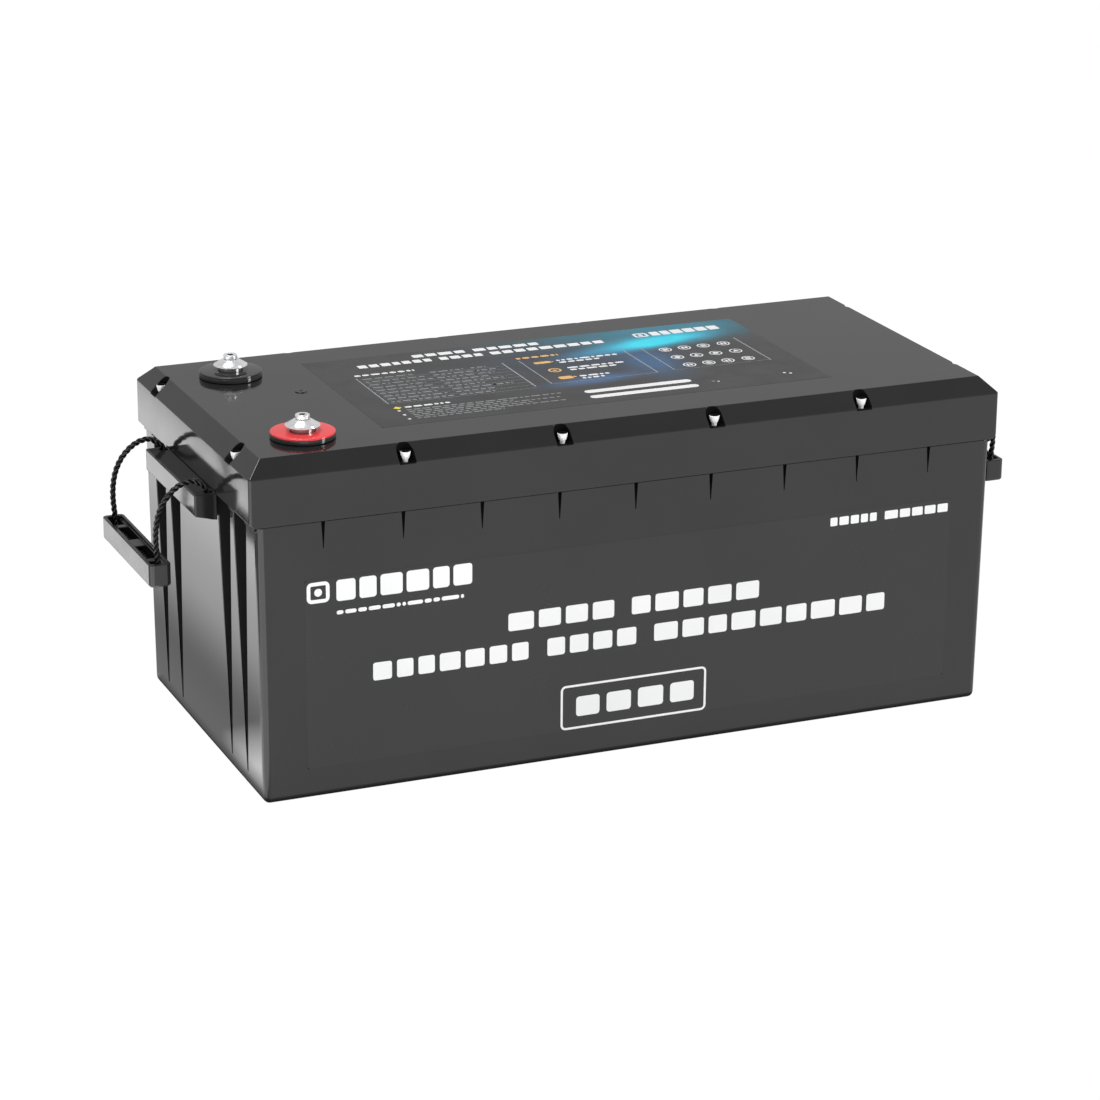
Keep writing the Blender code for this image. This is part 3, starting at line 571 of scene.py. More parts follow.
HALF_ROUTE = (
    # x, z of one side of the rope, from the knot up over the ledge and down to the grip
    (0.2645, 0.1775),
    (0.26455, 0.1850),
    (0.2649, 0.1880),
    (0.2661, 0.1906),
    (0.2686, 0.1930),
    (0.27215, 0.1950),
    (PIVOT_X, PIVOT_Z),
    (0.2812, 0.1950),
    (0.2876, 0.1912),
    (0.2934, 0.1848),
    (0.2975, 0.1765),
    (0.2995, 0.1670),
    (0.2998, 0.1575),
    (0.2992, 0.1500),
    (0.2988, 0.1450),
)
GRIP_ROUTE = (
    # y, z of the turn into the grip and the run through it
    (-0.0464, 0.1406),
    (-0.0418, 0.1390),
    (-0.0300, 0.1388),
    (-0.0150, 0.1388),
)
GRIP_X, GRIP_Z = 0.2988, 0.1388


def rope_route(side):
    """The whole rope of one handle, knot to knot."""
    half = [Vector((side * x, -ROPE_Y, z)) for x, z in HALF_ROUTE]
    half += [Vector((side * GRIP_X, y, z)) for y, z in GRIP_ROUTE]
    other_half = [Vector((p.x, -p.y, p.z)) for p in reversed(half)]
    return [*half, Vector((side * GRIP_X, 0, GRIP_Z)), *other_half]


def smooth_path(route, steps):
    """Points along a Catmull-Rom curve through the route, with steps points to each stretch."""
    padded = [2 * route[0] - route[1], *route, 2 * route[-1] - route[-2]]
    points = []
    for a, b, c, d in zip(padded, padded[1:], padded[2:], padded[3:]):
        for step in range(steps):
            t = step / steps
            square = (2 * a - 5 * b + 4 * c - d) * t**2
            cube = (3 * b - a - 3 * c + d) * t**3
            points.append(0.5 * (2 * b + (c - a) * t + square + cube))
    return [*points, route[-1]]


def evenly(points, step):
    """The same line with points at equal steps, and their distances along it."""
    line = np.array(points, float)
    along = np.concatenate([[0], np.cumsum(np.linalg.norm(np.diff(line, axis=0), axis=1))])
    at = np.linspace(0, along[-1], max(2, round(along[-1] / step)) + 1)
    even = np.stack([np.interp(at, along, line[:, k]) for k in range(3)], axis=1)
    return [Vector(p) for p in even], at


def frames_along(line):
    """Each point of a line with two directions across it, which turn as little as possible."""
    along_y = abs((line[1] - line[0]).normalized().y) >= 0.9
    normal = Vector((0, 0, 1)) if along_y else Vector((0, 1, 0))
    frames = []
    for index, place in enumerate(line):
        tangent = (line[min(index + 1, len(line) - 1)] - line[max(index - 1, 0)]).normalized()
        normal = (normal - tangent * normal.dot(tangent)).normalized()
        frames.append((place, normal.copy(), tangent.cross(normal)))
    return frames


def laid_rope(points, radius, lay, sides=10, step=0.0008):
    """Three strands twisted round one line, with UVs along and round each strand."""
    line, at = evenly(points, step)
    frames = frames_along(line)
    strand = STRAND_FILL * radius / (1 + 2 / math.sqrt(3))
    offset = radius - strand
    bm = bmesh.new()
    uv = bm.loops.layers.uv.new("strand")
    for number in range(3):
        rows = []
        for (place, across, up), distance in zip(frames, at):
            turn = 2 * math.pi * (distance / lay + number / 3)
            out = across * math.cos(turn) + up * math.sin(turn)
            side_way = up * math.cos(turn) - across * math.sin(turn)
            middle = place + out * offset
            row = []
            for corner in range(sides):
                angle = 2 * math.pi * corner / sides
                around = out * math.cos(angle) + side_way * math.sin(angle)
                row.append(bm.verts.new(middle + around * strand))
            rows.append(row)
        for index, (first, second) in enumerate(zip(rows, rows[1:])):
            for corner in range(sides):
                after = (corner + 1) % sides
                face = bm.faces.new((first[corner], first[after], second[after], second[corner]))
                corners = ((0, 0), (0, 1), (1, 1), (1, 0))
                for loop, (down, around) in zip(face.loops, corners):
                    along = (index + down) * step / lay
                    loop[uv].uv = (along * 3, (corner + around) / sides * 2)
        bm.faces.new(reversed(rows[0]))
        bm.faces.new(rows[-1])
    return bm


def knot_points(centre, spread=0.00088, rise=0.0021, count=96):
    """A tightened overhand knot: a trefoil about centre."""
    points = []
    for index in range(count + 1):
        t = 2 * math.pi * index / count
        x = math.sin(t) + 2 * math.sin(2 * t)
        y = math.cos(t) - 2 * math.cos(2 * t)
        points.append(centre + Vector((x * spread, y * spread, -math.sin(3 * t) * rise)))
    return points


def make_handle(side, name):
    """One handle: the rope, its two knots and the grip."""
    route = rope_route(side)
    points = smooth_path(route, steps=6)
    stood_for = [f"{name}_handle_rope", f"{name}_rope_tail_front", f"{name}_rope_tail_back"]
    mesh = mesh_of(f"{name}_rope", laid_rope(points, ROPE_RADIUS, ROPE_LAY), ROPE_SMOOTH_ANGLE)
    rope = add_piece(f"{name}_rope", mesh, [ROPE], replaces=stood_for)
    for end, y in (("front", -ROPE_Y), ("back", ROPE_Y)):
        curve = knot_points(Vector((route[0].x, y, KNOT_Z)))
        shape = laid_rope(curve, KNOT_ROPE_RADIUS, KNOT_LAY, sides=8, step=0.0006)
        title = f"{name}_rope_knot_{end}"
        mesh = mesh_of(title, shape, ROPE_SMOOTH_ANGLE)
        add_piece(title, mesh, [ROPE], "case")
    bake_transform(rope)
    add_rounded(f"{name}_grip", f"{name}_handle_grip", 0.0005, [GRIP_PLASTIC], f"{name}_handle")


# Case and lid


def make_case():
    """The case, with finer roundings in its slits and round the front label's recess, and near-black
    painted shade inside its slits.
    """
    slit_back_y, front_y = 0.116, -0.118
    label_half_x, label_low_z, label_high_z = 0.24, 0.018, 0.150

    def at_slit(middle):
        return middle.z > SLIT_LOW_Z and abs(middle.x) < SLITS_HALF_X

    def fine(middle):
        if abs(middle.y) > slit_back_y and middle.z < SLIT_HIGH_Z and at_slit(middle):
            return SMALL_FEATURE
        beside = abs(middle.x) < label_half_x and label_low_z < middle.z < label_high_z
        return 0.3 if beside and middle.y < front_y else 1.0

    case = add_rounded("case_shell", "case", 0.0006, [BLACK, RECESS_PAINTED_SHADE], "case", fine, 16)
    # Painted shade: the faces inside the slits take the near-black second slot
    for face in case.data.polygons:
        depth = abs(face.center.y)
        inside = SLIT_FLOOR_Y < depth < SLIT_MOUTH_Y and at_slit(face.center)
        face.material_index = int(inside)


def make_lid():
    """The lid, with finer roundings on its polarity marks and round the top label's recess, and
    near-black painted shade in its screw notches.
    """
    marks_offset, marks_half_x = 0.004, 0.006
    label_half_x, label_half_y = 0.1585, 0.081

    def fine(middle):
        beside_terminals = abs(middle.x - TERMINAL_X - marks_offset) < marks_half_x
        on_mark = beside_terminals and middle.z > LID_TOP - 0.0001
        in_label = abs(middle.x) < label_half_x and abs(middle.y) < label_half_y
        at_label = in_label and middle.z > LID_TOP - 0.001
        return SMALL_FEATURE if on_mark or at_label else 1.0

    lid = add_rounded("lid_shell", "lid", 0.0005, [LID_PLASTIC, RECESS_PAINTED_SHADE], "case", fine, 16)
    screws = [Vector(plan_centre(node)).xy for node in SCREW_NODES]
    # Painted shade: the notch faces round each screw take the near-black second slot
    for face in lid.data.polygons:
        place = face.center
        near = any((place.xy - screw).length < NOTCH_REACH for screw in screws)
        face.material_index = int(near and NOTCH_LOW_Z < place.z < LID_TOP - 0.0002)


def make_screws():
    """Twelve countersunk screws: a cross recess painted near-black as painted shade, a cone painted
    near-white as a painted highlight, and a threaded shank.
    """
    low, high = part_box(SCREW_NODES[0])
    head = (high.x - low.x) / 2 - 0.0004
    top = high.z - 0.0005
    shank, shank_top, thread_top = 0.0017, 0.2160, 0.2120
    rings = [
        # the recess in the head, near-black as painted shade
        (0, top - 0.0014),
        (cross(0.0011, 0.0003), top - 0.0013),
        (cross(0.0020, 0.00055), top - 0.0001),
        (head - 0.0005, top - 0.0001),
        # the head's edge and the cone under it, near-white as a painted highlight
        (head - 0.0003, top),
        (head, top - 0.0003),
        (head - 0.00005, top - 0.0009),
        (head - 0.00035, top - 0.0024),
        (head - 0.00075, top - 0.0038),
        (head - 0.0011, top - 0.0046),
        # the shank
        (shank + 0.0001, shank_top + 0.0004),
        (shank, shank_top),
        (shank, thread_top),
        *thread(shank, 0.00035, 0.0008, thread_top, low.z + 0.001),
        (shank * 0.5, low.z),
        (0, low.z),
    ]
    shared = mesh_of("lid_screw_shape", lofted(rings, SMALL_SIDES, marks=(4,)))
    finishes = [RECESS_PAINTED_SHADE, SCREW_PAINTED_HIGHLIGHT]
    for node in SCREW_NODES:
        place = plan_centre(node)
        add_piece(f"{node}_turned", shared.copy(), finishes, "case", [node], place)


def thread(radius, depth, pitch, top, bottom):
    """Rings of a right-hand thread, from top down to bottom."""
    rows = []
    rings_per_turn = 8
    count = math.ceil((top - bottom) / (pitch / rings_per_turn))

    def at(z):
        def surface(angle):
            phase = (z / pitch - angle / (2 * math.pi)) % 1
            return radius - depth * abs(2 * phase - 1)

        return surface

    for index in range(count + 1):
        z = top + (bottom - top) * index / count
        rows.append((at(z), z))
    return rows


def make_vent_plug():
    """A small round plug with a cross recess, almost level with the lid."""
    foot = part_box("vent_plug")[0].z
    top = LID_TOP + 0.0005
    seat = LID_TOP + 0.0001
    rings = [
        (0, top - 0.0004),
        (cross(0.0013, 0.0003), top - 0.0004),
        (cross(0.0014, 0.00035), top - 0.0001),
        (0.0034, top),
        *arc((0.0037, top - 0.0003), 0.0003, 90, 0, 4),
        (0.0040, seat),
        (0.0025, seat),
        (0.0025, foot),
        (0, foot),
    ]
    mesh = mesh_of("vent_plug_turned", lofted(rings, SMALL_SIDES))
    place = plan_centre("vent_plug")
    add_piece("vent_plug_turned", mesh, [LID_PLASTIC], "case", ["vent_plug"], place)


# Terminals


def make_ring(name, place, face_material):
    """A terminal ring in two pieces: a black flange, and a coloured face on a step."""
    node = f"{name}_terminal_ring"
    low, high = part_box(node)
    outer = (high.x - low.x) / 2
    bore = 0.0083
    step = high.z - 0.0011
    flange = [
        *arc((outer - 0.0006, step - 0.0006), 0.0006, 90, 0, 4),
        (outer, low.z + 0.0004),
        (outer - 0.0004, low.z),
        (bore, low.z),
        (bore, step),
    ]
    mesh = mesh_of(f"{name}_flange", lofted(flange, LARGE_SIDES))
    add_piece(f"{name}_flange", mesh, [FLANGE_PLASTIC], "case", [node], place)
    foot = step + 0.00002
    face = [
        *arc((outer - 0.0007, high.z - 0.0005), 0.0005, 90, 0, 4),
        (outer - 0.0002, foot),
        (bore, foot),
        (bore, high.z - 0.0002),
        (bore + 0.0002, high.z),
    ]
    mesh = mesh_of(f"{name}_face", lofted(face, LARGE_SIDES))
    add_piece(f"{name}_face", mesh, [face_material], "case", [node], place)


def make_washer(name, place):
    """A dished washer: a cone with a flat rim."""
    node = f"{name}_dished_washer"
    low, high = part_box(node)
    rim = (high.x - low.x) / 2
    hole = 0.0033
    edge = 0.00035
    washer = [
        (0.0050, high.z),
        (0.0053, high.z - 0.00012),
        (rim - 0.0017, high.z - 0.0027),
        (rim - 0.0013, high.z - 0.0031),
        (rim - 0.0012, low.z + 0.0008),
        (rim - 0.0009, low.z + 0.0007),
        *arc((rim - edge, low.z + edge), edge, 90, -90, 6),
        (hole, low.z),
        (hole, high.z - 0.0002),
        (hole + 0.0002, high.z),
    ]
    mesh = mesh_of(f"{name}_washer", lofted(washer, LARGE_SIDES))
    add_piece(f"{name}_washer", mesh, [ZINC], f"{name}_washer", [node], place)


def make_bolt(name, place):
    """A terminal screw: a low round head with a hexagon socket darkened as painted shade, and a threaded
    shank.
    """
    node = f"{name}_terminal_bolt"
    low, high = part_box(node)
    head, shank = (high.x - low.x) / 2, 0.003
    head_foot = high.z - 0.0027
    corner = 0.0008
    bolt = [
        # the socket, in darker zinc as painted shade
        (0, high.z - 0.0016),
        (hexagon(0.0019), high.z - 0.0016),
        (hexagon(0.0023), high.z - 0.0014),
        (hexagon(0.0023), high.z - 0.0003),
        # the head
        (hexagon(0.0026), high.z),
        *arc((head - corner, high.z - corner), corner, 90, 0, 6),
        (head, head_foot + 0.0003),
        (head - 0.0003, head_foot),
        # the shank
        (shank, head_foot),
        *thread(shank, 0.00045, 0.001, head_foot - 0.0006, low.z + 0.0008),
        (shank - 0.001, low.z),
        (0, low.z),
    ]
    mesh = mesh_of(f"{name}_bolt", lofted(bolt, SMALL_SIDES, marks=(3,)))
    finishes = [ZINC_PAINTED_SHADE, ZINC]
    add_piece(f"{name}_cap_screw", mesh, finishes, f"{name}_bolt", [node], place)


def make_terminal(name, face_material):
    place = (TERMINAL_X, plan_centre(f"{name}_terminal_ring")[1], 0)
    make_ring(name, place, face_material)
    make_washer(name, place)
    make_bolt(name, place)


# Label artwork


def rounded_loop(x0, y0, x1, y1, radius, steps=4):
    """The outline of a rounded rectangle, counterclockwise, in millimetres."""
    radius = min(radius, (x1 - x0) / 2, (y1 - y0) / 2)
    corners = ((x1, y1, 0), (x0, y1, 90), (x0, y0, 180), (x1, y0, 270))
    loop = []
    for x, y, start in corners:
        middle_x = x - radius if x == x1 else x + radius
        middle_y = y - radius if y == y1 else y + radius
        for index in range(steps + 1):
            angle = math.radians(start + 90 * index / steps)
            loop.append((middle_x + radius * math.cos(angle), middle_y + radius * math.sin(angle)))
    return loop


def join_loops(bm, first, second):
    """Faces between two closed loops with as many corners."""
    for index in range(len(first)):
        after = (index + 1) % len(first)
        bm.faces.new((first[index], first[after], second[after], second[index]))


class Sheet:
    """Flat graphics of one colour on one label, gathered into one mesh of thin raised ink."""

    def __init__(self, name, surface, material, slot):
        self.name = name
        self.surface = surface
        self.material = material
        self.slot = slot
        self.bm = bmesh.new()

    def plate(self, outer, hole=None):
        """A thin plate with the outline outer, and perhaps a hole with as many corners."""
        layers = []
        for height in (INK_GAP, INK_GAP + INK):
            layer = [[self.bm.verts.new((x * MM, y * MM, height)) for x, y in outer]]
            if hole:
                layer.append([self.bm.verts.new((x * MM, y * MM, height)) for x, y in hole])
            layers.append(layer)
        for loops in zip(*layers):
            join_loops(self.bm, *loops)
        for layer in layers:
            if hole:
                join_loops(self.bm, *layer)
            else:
                self.bm.faces.new(layer[0])

    def bar(self, x0, y0, x1, y1, radius=0.6):
        self.plate(rounded_loop(x0, y0, x1, y1, radius))

    def outline(self, x0, y0, x1, y1, radius, line):
        """A rounded rectangle drawn with a line this wide."""
        inner = rounded_loop(x0 + line, y0 + line, x1 - line, y1 - line, max(radius - line, 0.01))
        self.plate(rounded_loop(x0, y0, x1, y1, radius), inner)

    def disc(self, x, y, radius, inner=0):
        if inner:
            self.outline(x - radius, y - radius, x + radius, y + radius, radius, radius - inner)
        else:
            self.bar(x - radius, y - radius, x + radius, y + radius, radius)

    def blocks(self, x0, x1, y0, y1, count, gap, radius=0.8):
        """One word as a row of plain blocks of slightly different widths."""
        draw = random.Random(round(31 * x0) + count)
        shares = [draw.uniform(0.82, 1.18) for _ in range(count)]
        scale = (x1 - x0 - gap * (count - 1)) / sum(shares)
        left = x0
        for share in shares:
            self.bar(left, y0, left + share * scale, y1, radius)
            left += share * scale + gap

    def words(self, x0, x1, y, height, seed, longest=9):
        """A line of fine print as plain bars of word length."""
        draw = random.Random(seed)
        x = x0
        while x < x1 - 1:
            end = min(x1, x + draw.uniform(2.2, longest))
            self.bar(x, y - height / 2, end, y + height / 2, height / 2)
            x = end + 1.1

    def done(self):
        mesh = mesh_of(self.name, self.bm)
        mesh.transform(self.surface)
        add_piece(self.name, mesh, [self.material], "case")


def make_film(name, material):
    """A label's film with rounded corners, which fills its recess and laps a little over its edge."""
    low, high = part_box(name)
    top = name == "top_label"
    x0, x1 = low.x / MM, high.x / MM
    y0, y1 = (low.y / MM, high.y / MM) if top else (low.z / MM, high.z / MM)
    thickness = (high.z - low.z) if top else (high.y - low.y)
    loop = rounded_loop(x0, y0, x1, y1, radius=2.0, steps=6)
    edge = (
        # inset in millimetres, height in metres
        (0.0, -thickness),
        (0.0, LIP_FOOT[0]),
        (-LIP, LIP_FOOT[1]),
        (-LIP, FILM_RISE_AT_EDGE),
        (LIP_CHAMFER - LIP, FILM_RISE),
    )
    bm = bmesh.new()
    rows = []
    for inset, height in edge:
        row = []
        for x, y in loop:
            x += inset if x < (x0 + x1) / 2 else -inset
            y += inset if y < (y0 + y1) / 2 else -inset
            row.append(bm.verts.new((x * MM, y * MM, height)))
        rows.append(row)
    for first, second in zip(rows, rows[1:]):
        join_loops(bm, first, second)
    bm.faces.new(reversed(rows[0]))
    bm.faces.new(rows[-1])
    mesh = mesh_of(f"{name}_film", bm, smooth_angle=5)
    surface = label_surface(top, high.z if top else low.y)
    mesh.transform(surface)
    add_piece(f"{name}_film", mesh, [material], "case", [name])
    return surface


def label_surface(top, height):
    """The matrix from label coordinates to the lid's top or the case's front."""
    if top:
        return Matrix.Translation((0, 0, height))
    return Matrix.Translation((0, height, 0)) @ Matrix.Rotation(math.pi / 2, 4, "X")


def make_front_label():
    """Plain bars and blocks on the front label, in millimetres."""
    surface = make_film("front_label", FRONT_FILM)
    white = Sheet("front_white_ink", surface, WHITE_INK, "front_label_film")
    # A plain square mark and a word of six blocks, with a line of fine print under them
    white.outline(-224.6, 130.8, -209.6, 144.6, 3.2, 2.4)
    white.disc(-217.1, 137.7, 2.6)
    white.blocks(-205.1, -114.2, 130.4, 144.4, 6, 2.6, 2.0)
    white.words(-205.1, -119.8, 122.9, 2.6, 3, 12)
    # The two title lines, word by word
    for x0, x1, count in ((-89.4, -15.7, 4), (-3.3, 88.0, 5)):
        white.blocks(x0, x1, 94.6, 106.6, count, 3.4, 1.6)
    for x0, x1, count in ((-181.3, -75.4, 7), (-62.3, 0.2, 4), (12.9, 181.3, 9)):
        white.blocks(x0, x1, 74.0, 86.0, count, 3.4, 1.6)
    # The ruled box
    white.outline(-52.7, 20.9, 51.0, 51.6, 3.6, 1.5)
    white.blocks(-41.8, 42.2, 29.4, 43.0, 4, 5.0, 2.2)
    # The short line at the top right
    for x0, x1 in ((139.0, 173.2), (179.2, 226.4)):
        white.blocks(x0, x1, 137.2, 143.0, 5, 1.5, 0.8)
    white.done()


def make_top_label():
    """Plain bars, blocks, rules and round icons on the top label, in millimetres."""
    surface = make_film("top_label", TOP_FILM)

    def sheet(colour, material):
        return Sheet(f"top_{colour}_ink", surface, material, "top_label_film")

    white = sheet("white", WHITE_INK)
    grey = sheet("grey", GREY_INK)
    rule = sheet("rule", RULE_INK)
    orange = sheet("orange", ORANGE_INK)
    yellow = sheet("yellow", YELLOW_INK)

    # The two title lines, word by word
    for x0, x1, count in ((-83.2, -45.6, 4), (-39.1, 8.2, 5)):
        white.blocks(x0, x1, 66.2, 72.4, count, 1.9, 0.8)
    for x0, x1, count in ((-126.0, -74.1, 7), (-67.8, -37.2, 4), (-31.0, 51.6, 9)):
        white.blocks(x0, x1, 54.6, 61.2, count, 1.9, 0.8)
    # The plain mark and word at the far right
    white.outline(77.0, 58.4, 87.2, 67.6, 2.2, 1.7)
    white.disc(82.1, 63.0, 1.8)
    white.blocks(89.6, 140.6, 58.6, 67.8, 6, 1.5, 1.2)

    # Table: a heading, side rules and nine rows of fine print
    white.words(-135.6, -93.4, 38.6, 3.2, 11, 7)
    rule.bar(-136.9, -29.0, -136.1, 33.0, 0.3)
    rule.bar(-33.3, -26.5, -32.3, 32.6, 0.3)
    for row in range(9):
        y = 29.4 - 6.9 * row
        rule.bar(-136.0, y - 3.6, -33.4, y - 3.35, 0.1)
        grey.words(-133.6, -96.0 + (row % 3) * 4, y, 2.3, 20 + row, 8)
        grey.words(-86.0, -62.0 + (row * 7 % 11), y, 2.3, 40 + row, 8)
        if row in (0, 1, 2, 4, 6):
            grey.words(-57.0, -46.0 + (row * 5 % 9), y, 2.3, 60 + row, 6)

    # Note: a yellow lozenge, a heading and small rows
    yellow.plate([(-134.3, -36.6), (-137.2, -39.6), (-134.3, -42.6), (-131.4, -39.6)])
    white.words(-129.4, -98.0, -39.7, 2.8, 12, 8)
    for y in (-46.2, -55.6, -65.0):
        white.bar(-136.4, y - 1.0, -134.4, y + 1.0, 0.3)
    for row, end in enumerate((-23, -58, -27, -48, -26, -70)):
        grey.words(-130.4, end, -46.2 - 3.8 * row, 1.9, 80 + row, 7)

    # Middle box: orange heading, three icons and their captions
    orange.words(-20.4, 10.2, 38.8, 3.6, 13, 7)
    rule.bar(-20.8, -24.6, -20.0, 33.2, 0.3)
    rule.bar(55.0, -25.6, 56.0, 33.2, 0.3)
    rule.bar(-20.0, -25.4, 55.0, -25.0, 0.1)
    orange.bar(-13.2, 22.0, -1.0, 26.4, 1.4)
    orange.bar(-0.4, 23.2, 0.6, 25.2, 0.3)
    orange.disc(-6.4, 4.2, 4.6, 3.2)
    orange.disc(-6.4, 4.2, 1.5)
    orange.bar(-11.2, -17.6, -1.2, -11.2, 2.0)
    orange.disc(0.2, -14.4, 1.2)
    for y, upper_end, lower_end in ((23, 48.0, 33.0), (4, 45.0, 37.0), (-17, 25.0, 21.0)):
        white.words(3.6, upper_end, y + 2.5, 2.9, 100 + y, 8)
        white.words(3.6, lower_end, y - 2.5, 2.9, 140 + y, 8)

    # Right box: three rows of four round icons
    rule.bar(68.1, -23.6, 68.9, 32.6, 0.3)
    rule.bar(138.6, -25.0, 139.6, 34.0, 0.3)
    rule.bar(68.9, -24.2, 138.6, -23.9, 0.1)
    for row, y in enumerate((23.4, 3.6, -15.9)):
        for column, x in enumerate((83.0, 97.2, 111.4, 126.4)):
            small_icon(white, x, y, (row + 2 * column) % 4)

    # Two blank fields and small marks
    white.bar(-8.1, -53.4, 68.0, -47.0, 3.0)
    white.bar(-9.1, -65.6, 68.0, -59.2, 3.0)
    grey.bar(79.6, -58.6, 82.2, -56.8, 0.4)
    white.disc(84.0, -59.2, 0.8)
    white.disc(133.6, -56.4, 1.1)
    white.disc(137.0, -58.8, 1.1)

    for part in (white, grey, rule, orange, yellow):
        part.done()


def small_icon(ink, x, y, kind):
    """One of four plain round icons about 9 mm across."""
    ink.disc(x, y, 4.6, 3.7)
    if kind == 0:
        for low, high in ((-0.6, 0.6), (-2.4, -1.2), (1.2, 2.4)):
            ink.bar(x - 2.2, y + low, x + 2.2, y + high, 0.5)
    elif kind == 1:
        ink.disc(x, y, 2.2)
    elif kind == 2:
        ink.bar(x - 2.0, y - 2.0, x - 0.4, y + 2.0, 0.4)
        ink.bar(x + 0.4, y - 2.0, x + 2.0, y + 2.0, 0.4)
    else:
        ink.plate([(x, y + 2.6), (x - 2.4, y - 1.6), (x + 2.4, y - 1.6)])


# Hidden CAD pieces keep their shape and get their finish

INNER_FINISH = {
    "base_pad": FOAM,
    "bms_board": BOARD,
    "bms_bracket": ZINC,
    "bms_heat_sink": ALUMINIUM,
    "cell": CELL_FILM,
    "cell_link": COPPER,
    "end_plate": ALUMINIUM,
    "foam_block": FOAM,
    "lid_gasket": GASKET,
    "negative_cable": CABLE_BLACK,
    "positive_cable": CABLE_RED,
    "pack_negative_cable": CABLE_BLACK,
    "sense_harness": CABLE_BLACK,
    "negative_terminal_post": TINNED_BRASS,
    "positive_terminal_post": TINNED_BRASS,
    "pack_negative_tab": COPPER,
    "pack_positive_tab": COPPER,
    "pack_strap": ZINC,
}


def finish_inner_nodes():
    """Gives each CAD node that is still shown the finish of the longest name that it starts with."""
    for name, obj in nodes.items():
        if obj.hide_render:
            continue
        key = max((k for k in INNER_FINISH if name.startswith(k)), key=len)
        obj.data.materials.clear()
        obj.data.materials.append(INNER_FINISH[key])


# Camera, floor and light


def make_camera():
    level = math.cos(ELEVATION)
    height = math.sin(ELEVATION)
    away = Vector((math.sin(AZIMUTH) * level, -math.cos(AZIMUTH) * level, height))
    level_right = Vector((math.cos(AZIMUTH), math.sin(AZIMUTH), 0))
    level_up = away.cross(level_right)
    right = math.cos(ROLL) * level_right + math.sin(ROLL) * level_up
    up = math.cos(ROLL) * level_up - math.sin(ROLL) * level_right
    data = bpy.data.cameras.new("camera")
    data.lens = LENS
    data.sensor_width = SENSOR
    camera = bpy.data.objects.new("camera", data)
    camera.location = TARGET + away * DISTANCE
    camera.rotation_euler = Matrix((right, up, away)).transposed().to_euler()
    scene.collection.objects.link(camera)
    scene.camera = camera


def away_from_foot(tree, place):
    """Low at the foot of the case, where it shades the floor, and 1 a few millimetres out."""
    gaps = []
    for axis, half in (("X", FOOT_HALF_X), ("Y", FOOT_HALF_Y)):
        distance = calculate(tree, "ABSOLUTE", place.outputs[axis])
        gaps.append(calculate(tree, "SUBTRACT", distance, half))
    return remap(tree, calculate(tree, "MAXIMUM", *gaps), FOOT_SHADE, 1, *FOOT_SHADE_ENDS)


def reflected_floor(tree):
    """The floor's radiance in reflections: bands along X, a bright corner, shade at the case's foot."""
    place = add_node(tree, "ShaderNodeSeparateXYZ")
    tree.links.new(object_coordinates(tree), place.inputs[0])
    ramp = tree.nodes.new("ShaderNodeValToRGB")
    ramp.color_ramp.interpolation = "EASE"
    low, high = FLOOR_SIDE[0][0], FLOOR_SIDE[-1][0]
    tree.links.new(remap(tree, place.outputs["X"], 0, 1, low, high), ramp.inputs["Fac"])
    for _ in FLOOR_SIDE[2:]:
        ramp.color_ramp.elements.new(0.5)
    for stop, (x, radiance) in zip(ramp.color_ramp.elements, FLOOR_SIDE):
        stop.position = (x - low) / (high - low)
        stop.color = (radiance, radiance, radiance, 1)
    in_front = remap(tree, place.outputs["Y"], CORNER_RADIANCE, 0, *CORNER_FADE_Y)
    beyond = remap(tree, place.outputs["X"], 1, 0, *CORNER_FADE_X)
    corner = calculate(tree, "MULTIPLY", in_front, beyond)
    brighter = calculate(tree, "MAXIMUM", ramp.outputs["Color"], corner)
    return calculate(tree, "MULTIPLY", brighter, away_from_foot(tree, place))


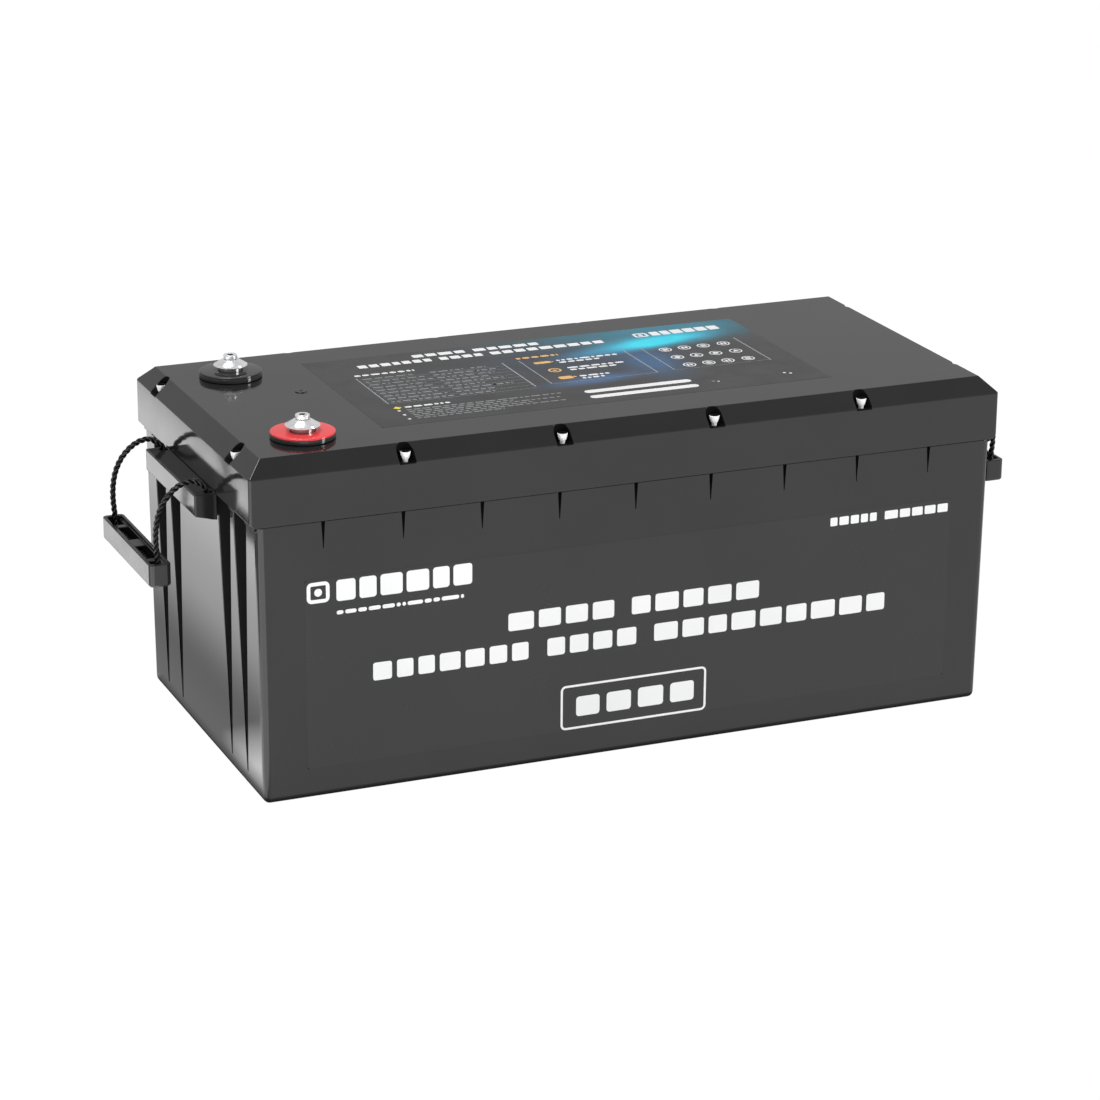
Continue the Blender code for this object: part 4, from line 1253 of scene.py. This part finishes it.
def make_floor():
    """A floor lit from within, like a light table: white to the camera, in bands to reflections."""
    bm = bmesh.new()
    bmesh.ops.create_grid(bm, x_segments=2, y_segments=2, size=12)
    floor = bpy.data.objects.new("floor", mesh_of("floor", bm))
    floor.location = (0, 0, -0.0002)
    scene.collection.objects.link(floor)
    material, tree, shader = new_material("floor_white")
    shader.inputs["Base Color"].default_value = (0.02, 0.02, 0.02, 1)
    shader.inputs["Roughness"].default_value = 0.9
    shader.inputs["Specular IOR Level"].default_value = 0.0
    shader.inputs["Emission Color"].default_value = (1, 1, 1, 1)
    rays = add_node(tree, "ShaderNodeLightPath")
    strength = tree.nodes.new("ShaderNodeMix")
    tree.links.new(rays.outputs["Is Camera Ray"], strength.inputs["Factor"])
    tree.links.new(reflected_floor(tree), strength.inputs[NUMBER_A])
    strength.inputs[NUMBER_B].default_value = 1.0
    tree.links.new(strength.outputs[NUMBER_OUT], shader.inputs["Emission Strength"])
    floor.data.materials.append(material)


def make_sky():
    """White to the camera; to everything else a soft grey room, darker overhead."""
    world = bpy.data.worlds.new("studio")
    world.use_nodes = True
    scene.world = world
    tree = world.node_tree
    tree.nodes.clear()
    direction = add_node(tree, "ShaderNodeTexCoord")
    split = add_node(tree, "ShaderNodeSeparateXYZ")
    tree.links.new(direction.outputs["Generated"], split.inputs[0])
    strength = remap(tree, split.outputs["Z"], SKY_LOW, SKY_HIGH, *SKY_FADE_Z)
    room = add_node(tree, "ShaderNodeBackground")
    tree.links.new(strength, room.inputs["Strength"])
    white = add_node(tree, "ShaderNodeBackground", Strength=1.0)
    for node in (room, white):
        node.inputs["Color"].default_value = (1, 1, 1, 1)
    rays = add_node(tree, "ShaderNodeLightPath")
    mix = add_node(tree, "ShaderNodeMixShader")
    tree.links.new(rays.outputs["Is Camera Ray"], mix.inputs["Fac"])
    tree.links.new(room.outputs[0], mix.inputs[1])
    tree.links.new(white.outputs[0], mix.inputs[2])
    output = add_node(tree, "ShaderNodeOutputWorld")
    tree.links.new(mix.outputs[0], output.inputs["Surface"])


def add_softbox(name, location, size, power):
    """A rectangular light turned towards the object, which the camera doesn't see."""
    data = bpy.data.lights.new(name, "AREA")
    data.shape = "RECTANGLE"
    data.size, data.size_y = size
    data.energy = power
    light = bpy.data.objects.new(name, data)
    light.location = location
    light.rotation_euler = (TARGET - Vector(location)).to_track_quat("-Z", "Y").to_euler()
    light.visible_camera = False
    scene.collection.objects.link(light)


def make_lights():
    add_softbox("top_light", location=(-0.5, 0.2, 2.2), size=(0.9, 0.9), power=26)
    add_softbox("key_light", location=(2.0, -1.55, 0.9), size=(0.5, 0.9), power=28)
    scene.view_settings.view_transform = "Standard"


make_camera()
for side, name in ((-1, "left"), (1, "right")):
    make_handle(side, name)
make_case()
make_lid()
make_screws()
make_vent_plug()
make_terminal("positive", RED)
make_terminal("negative", FLANGE_PLASTIC)
make_front_label()
make_top_label()
finish_inner_nodes()
make_floor()
make_sky()
make_lights()
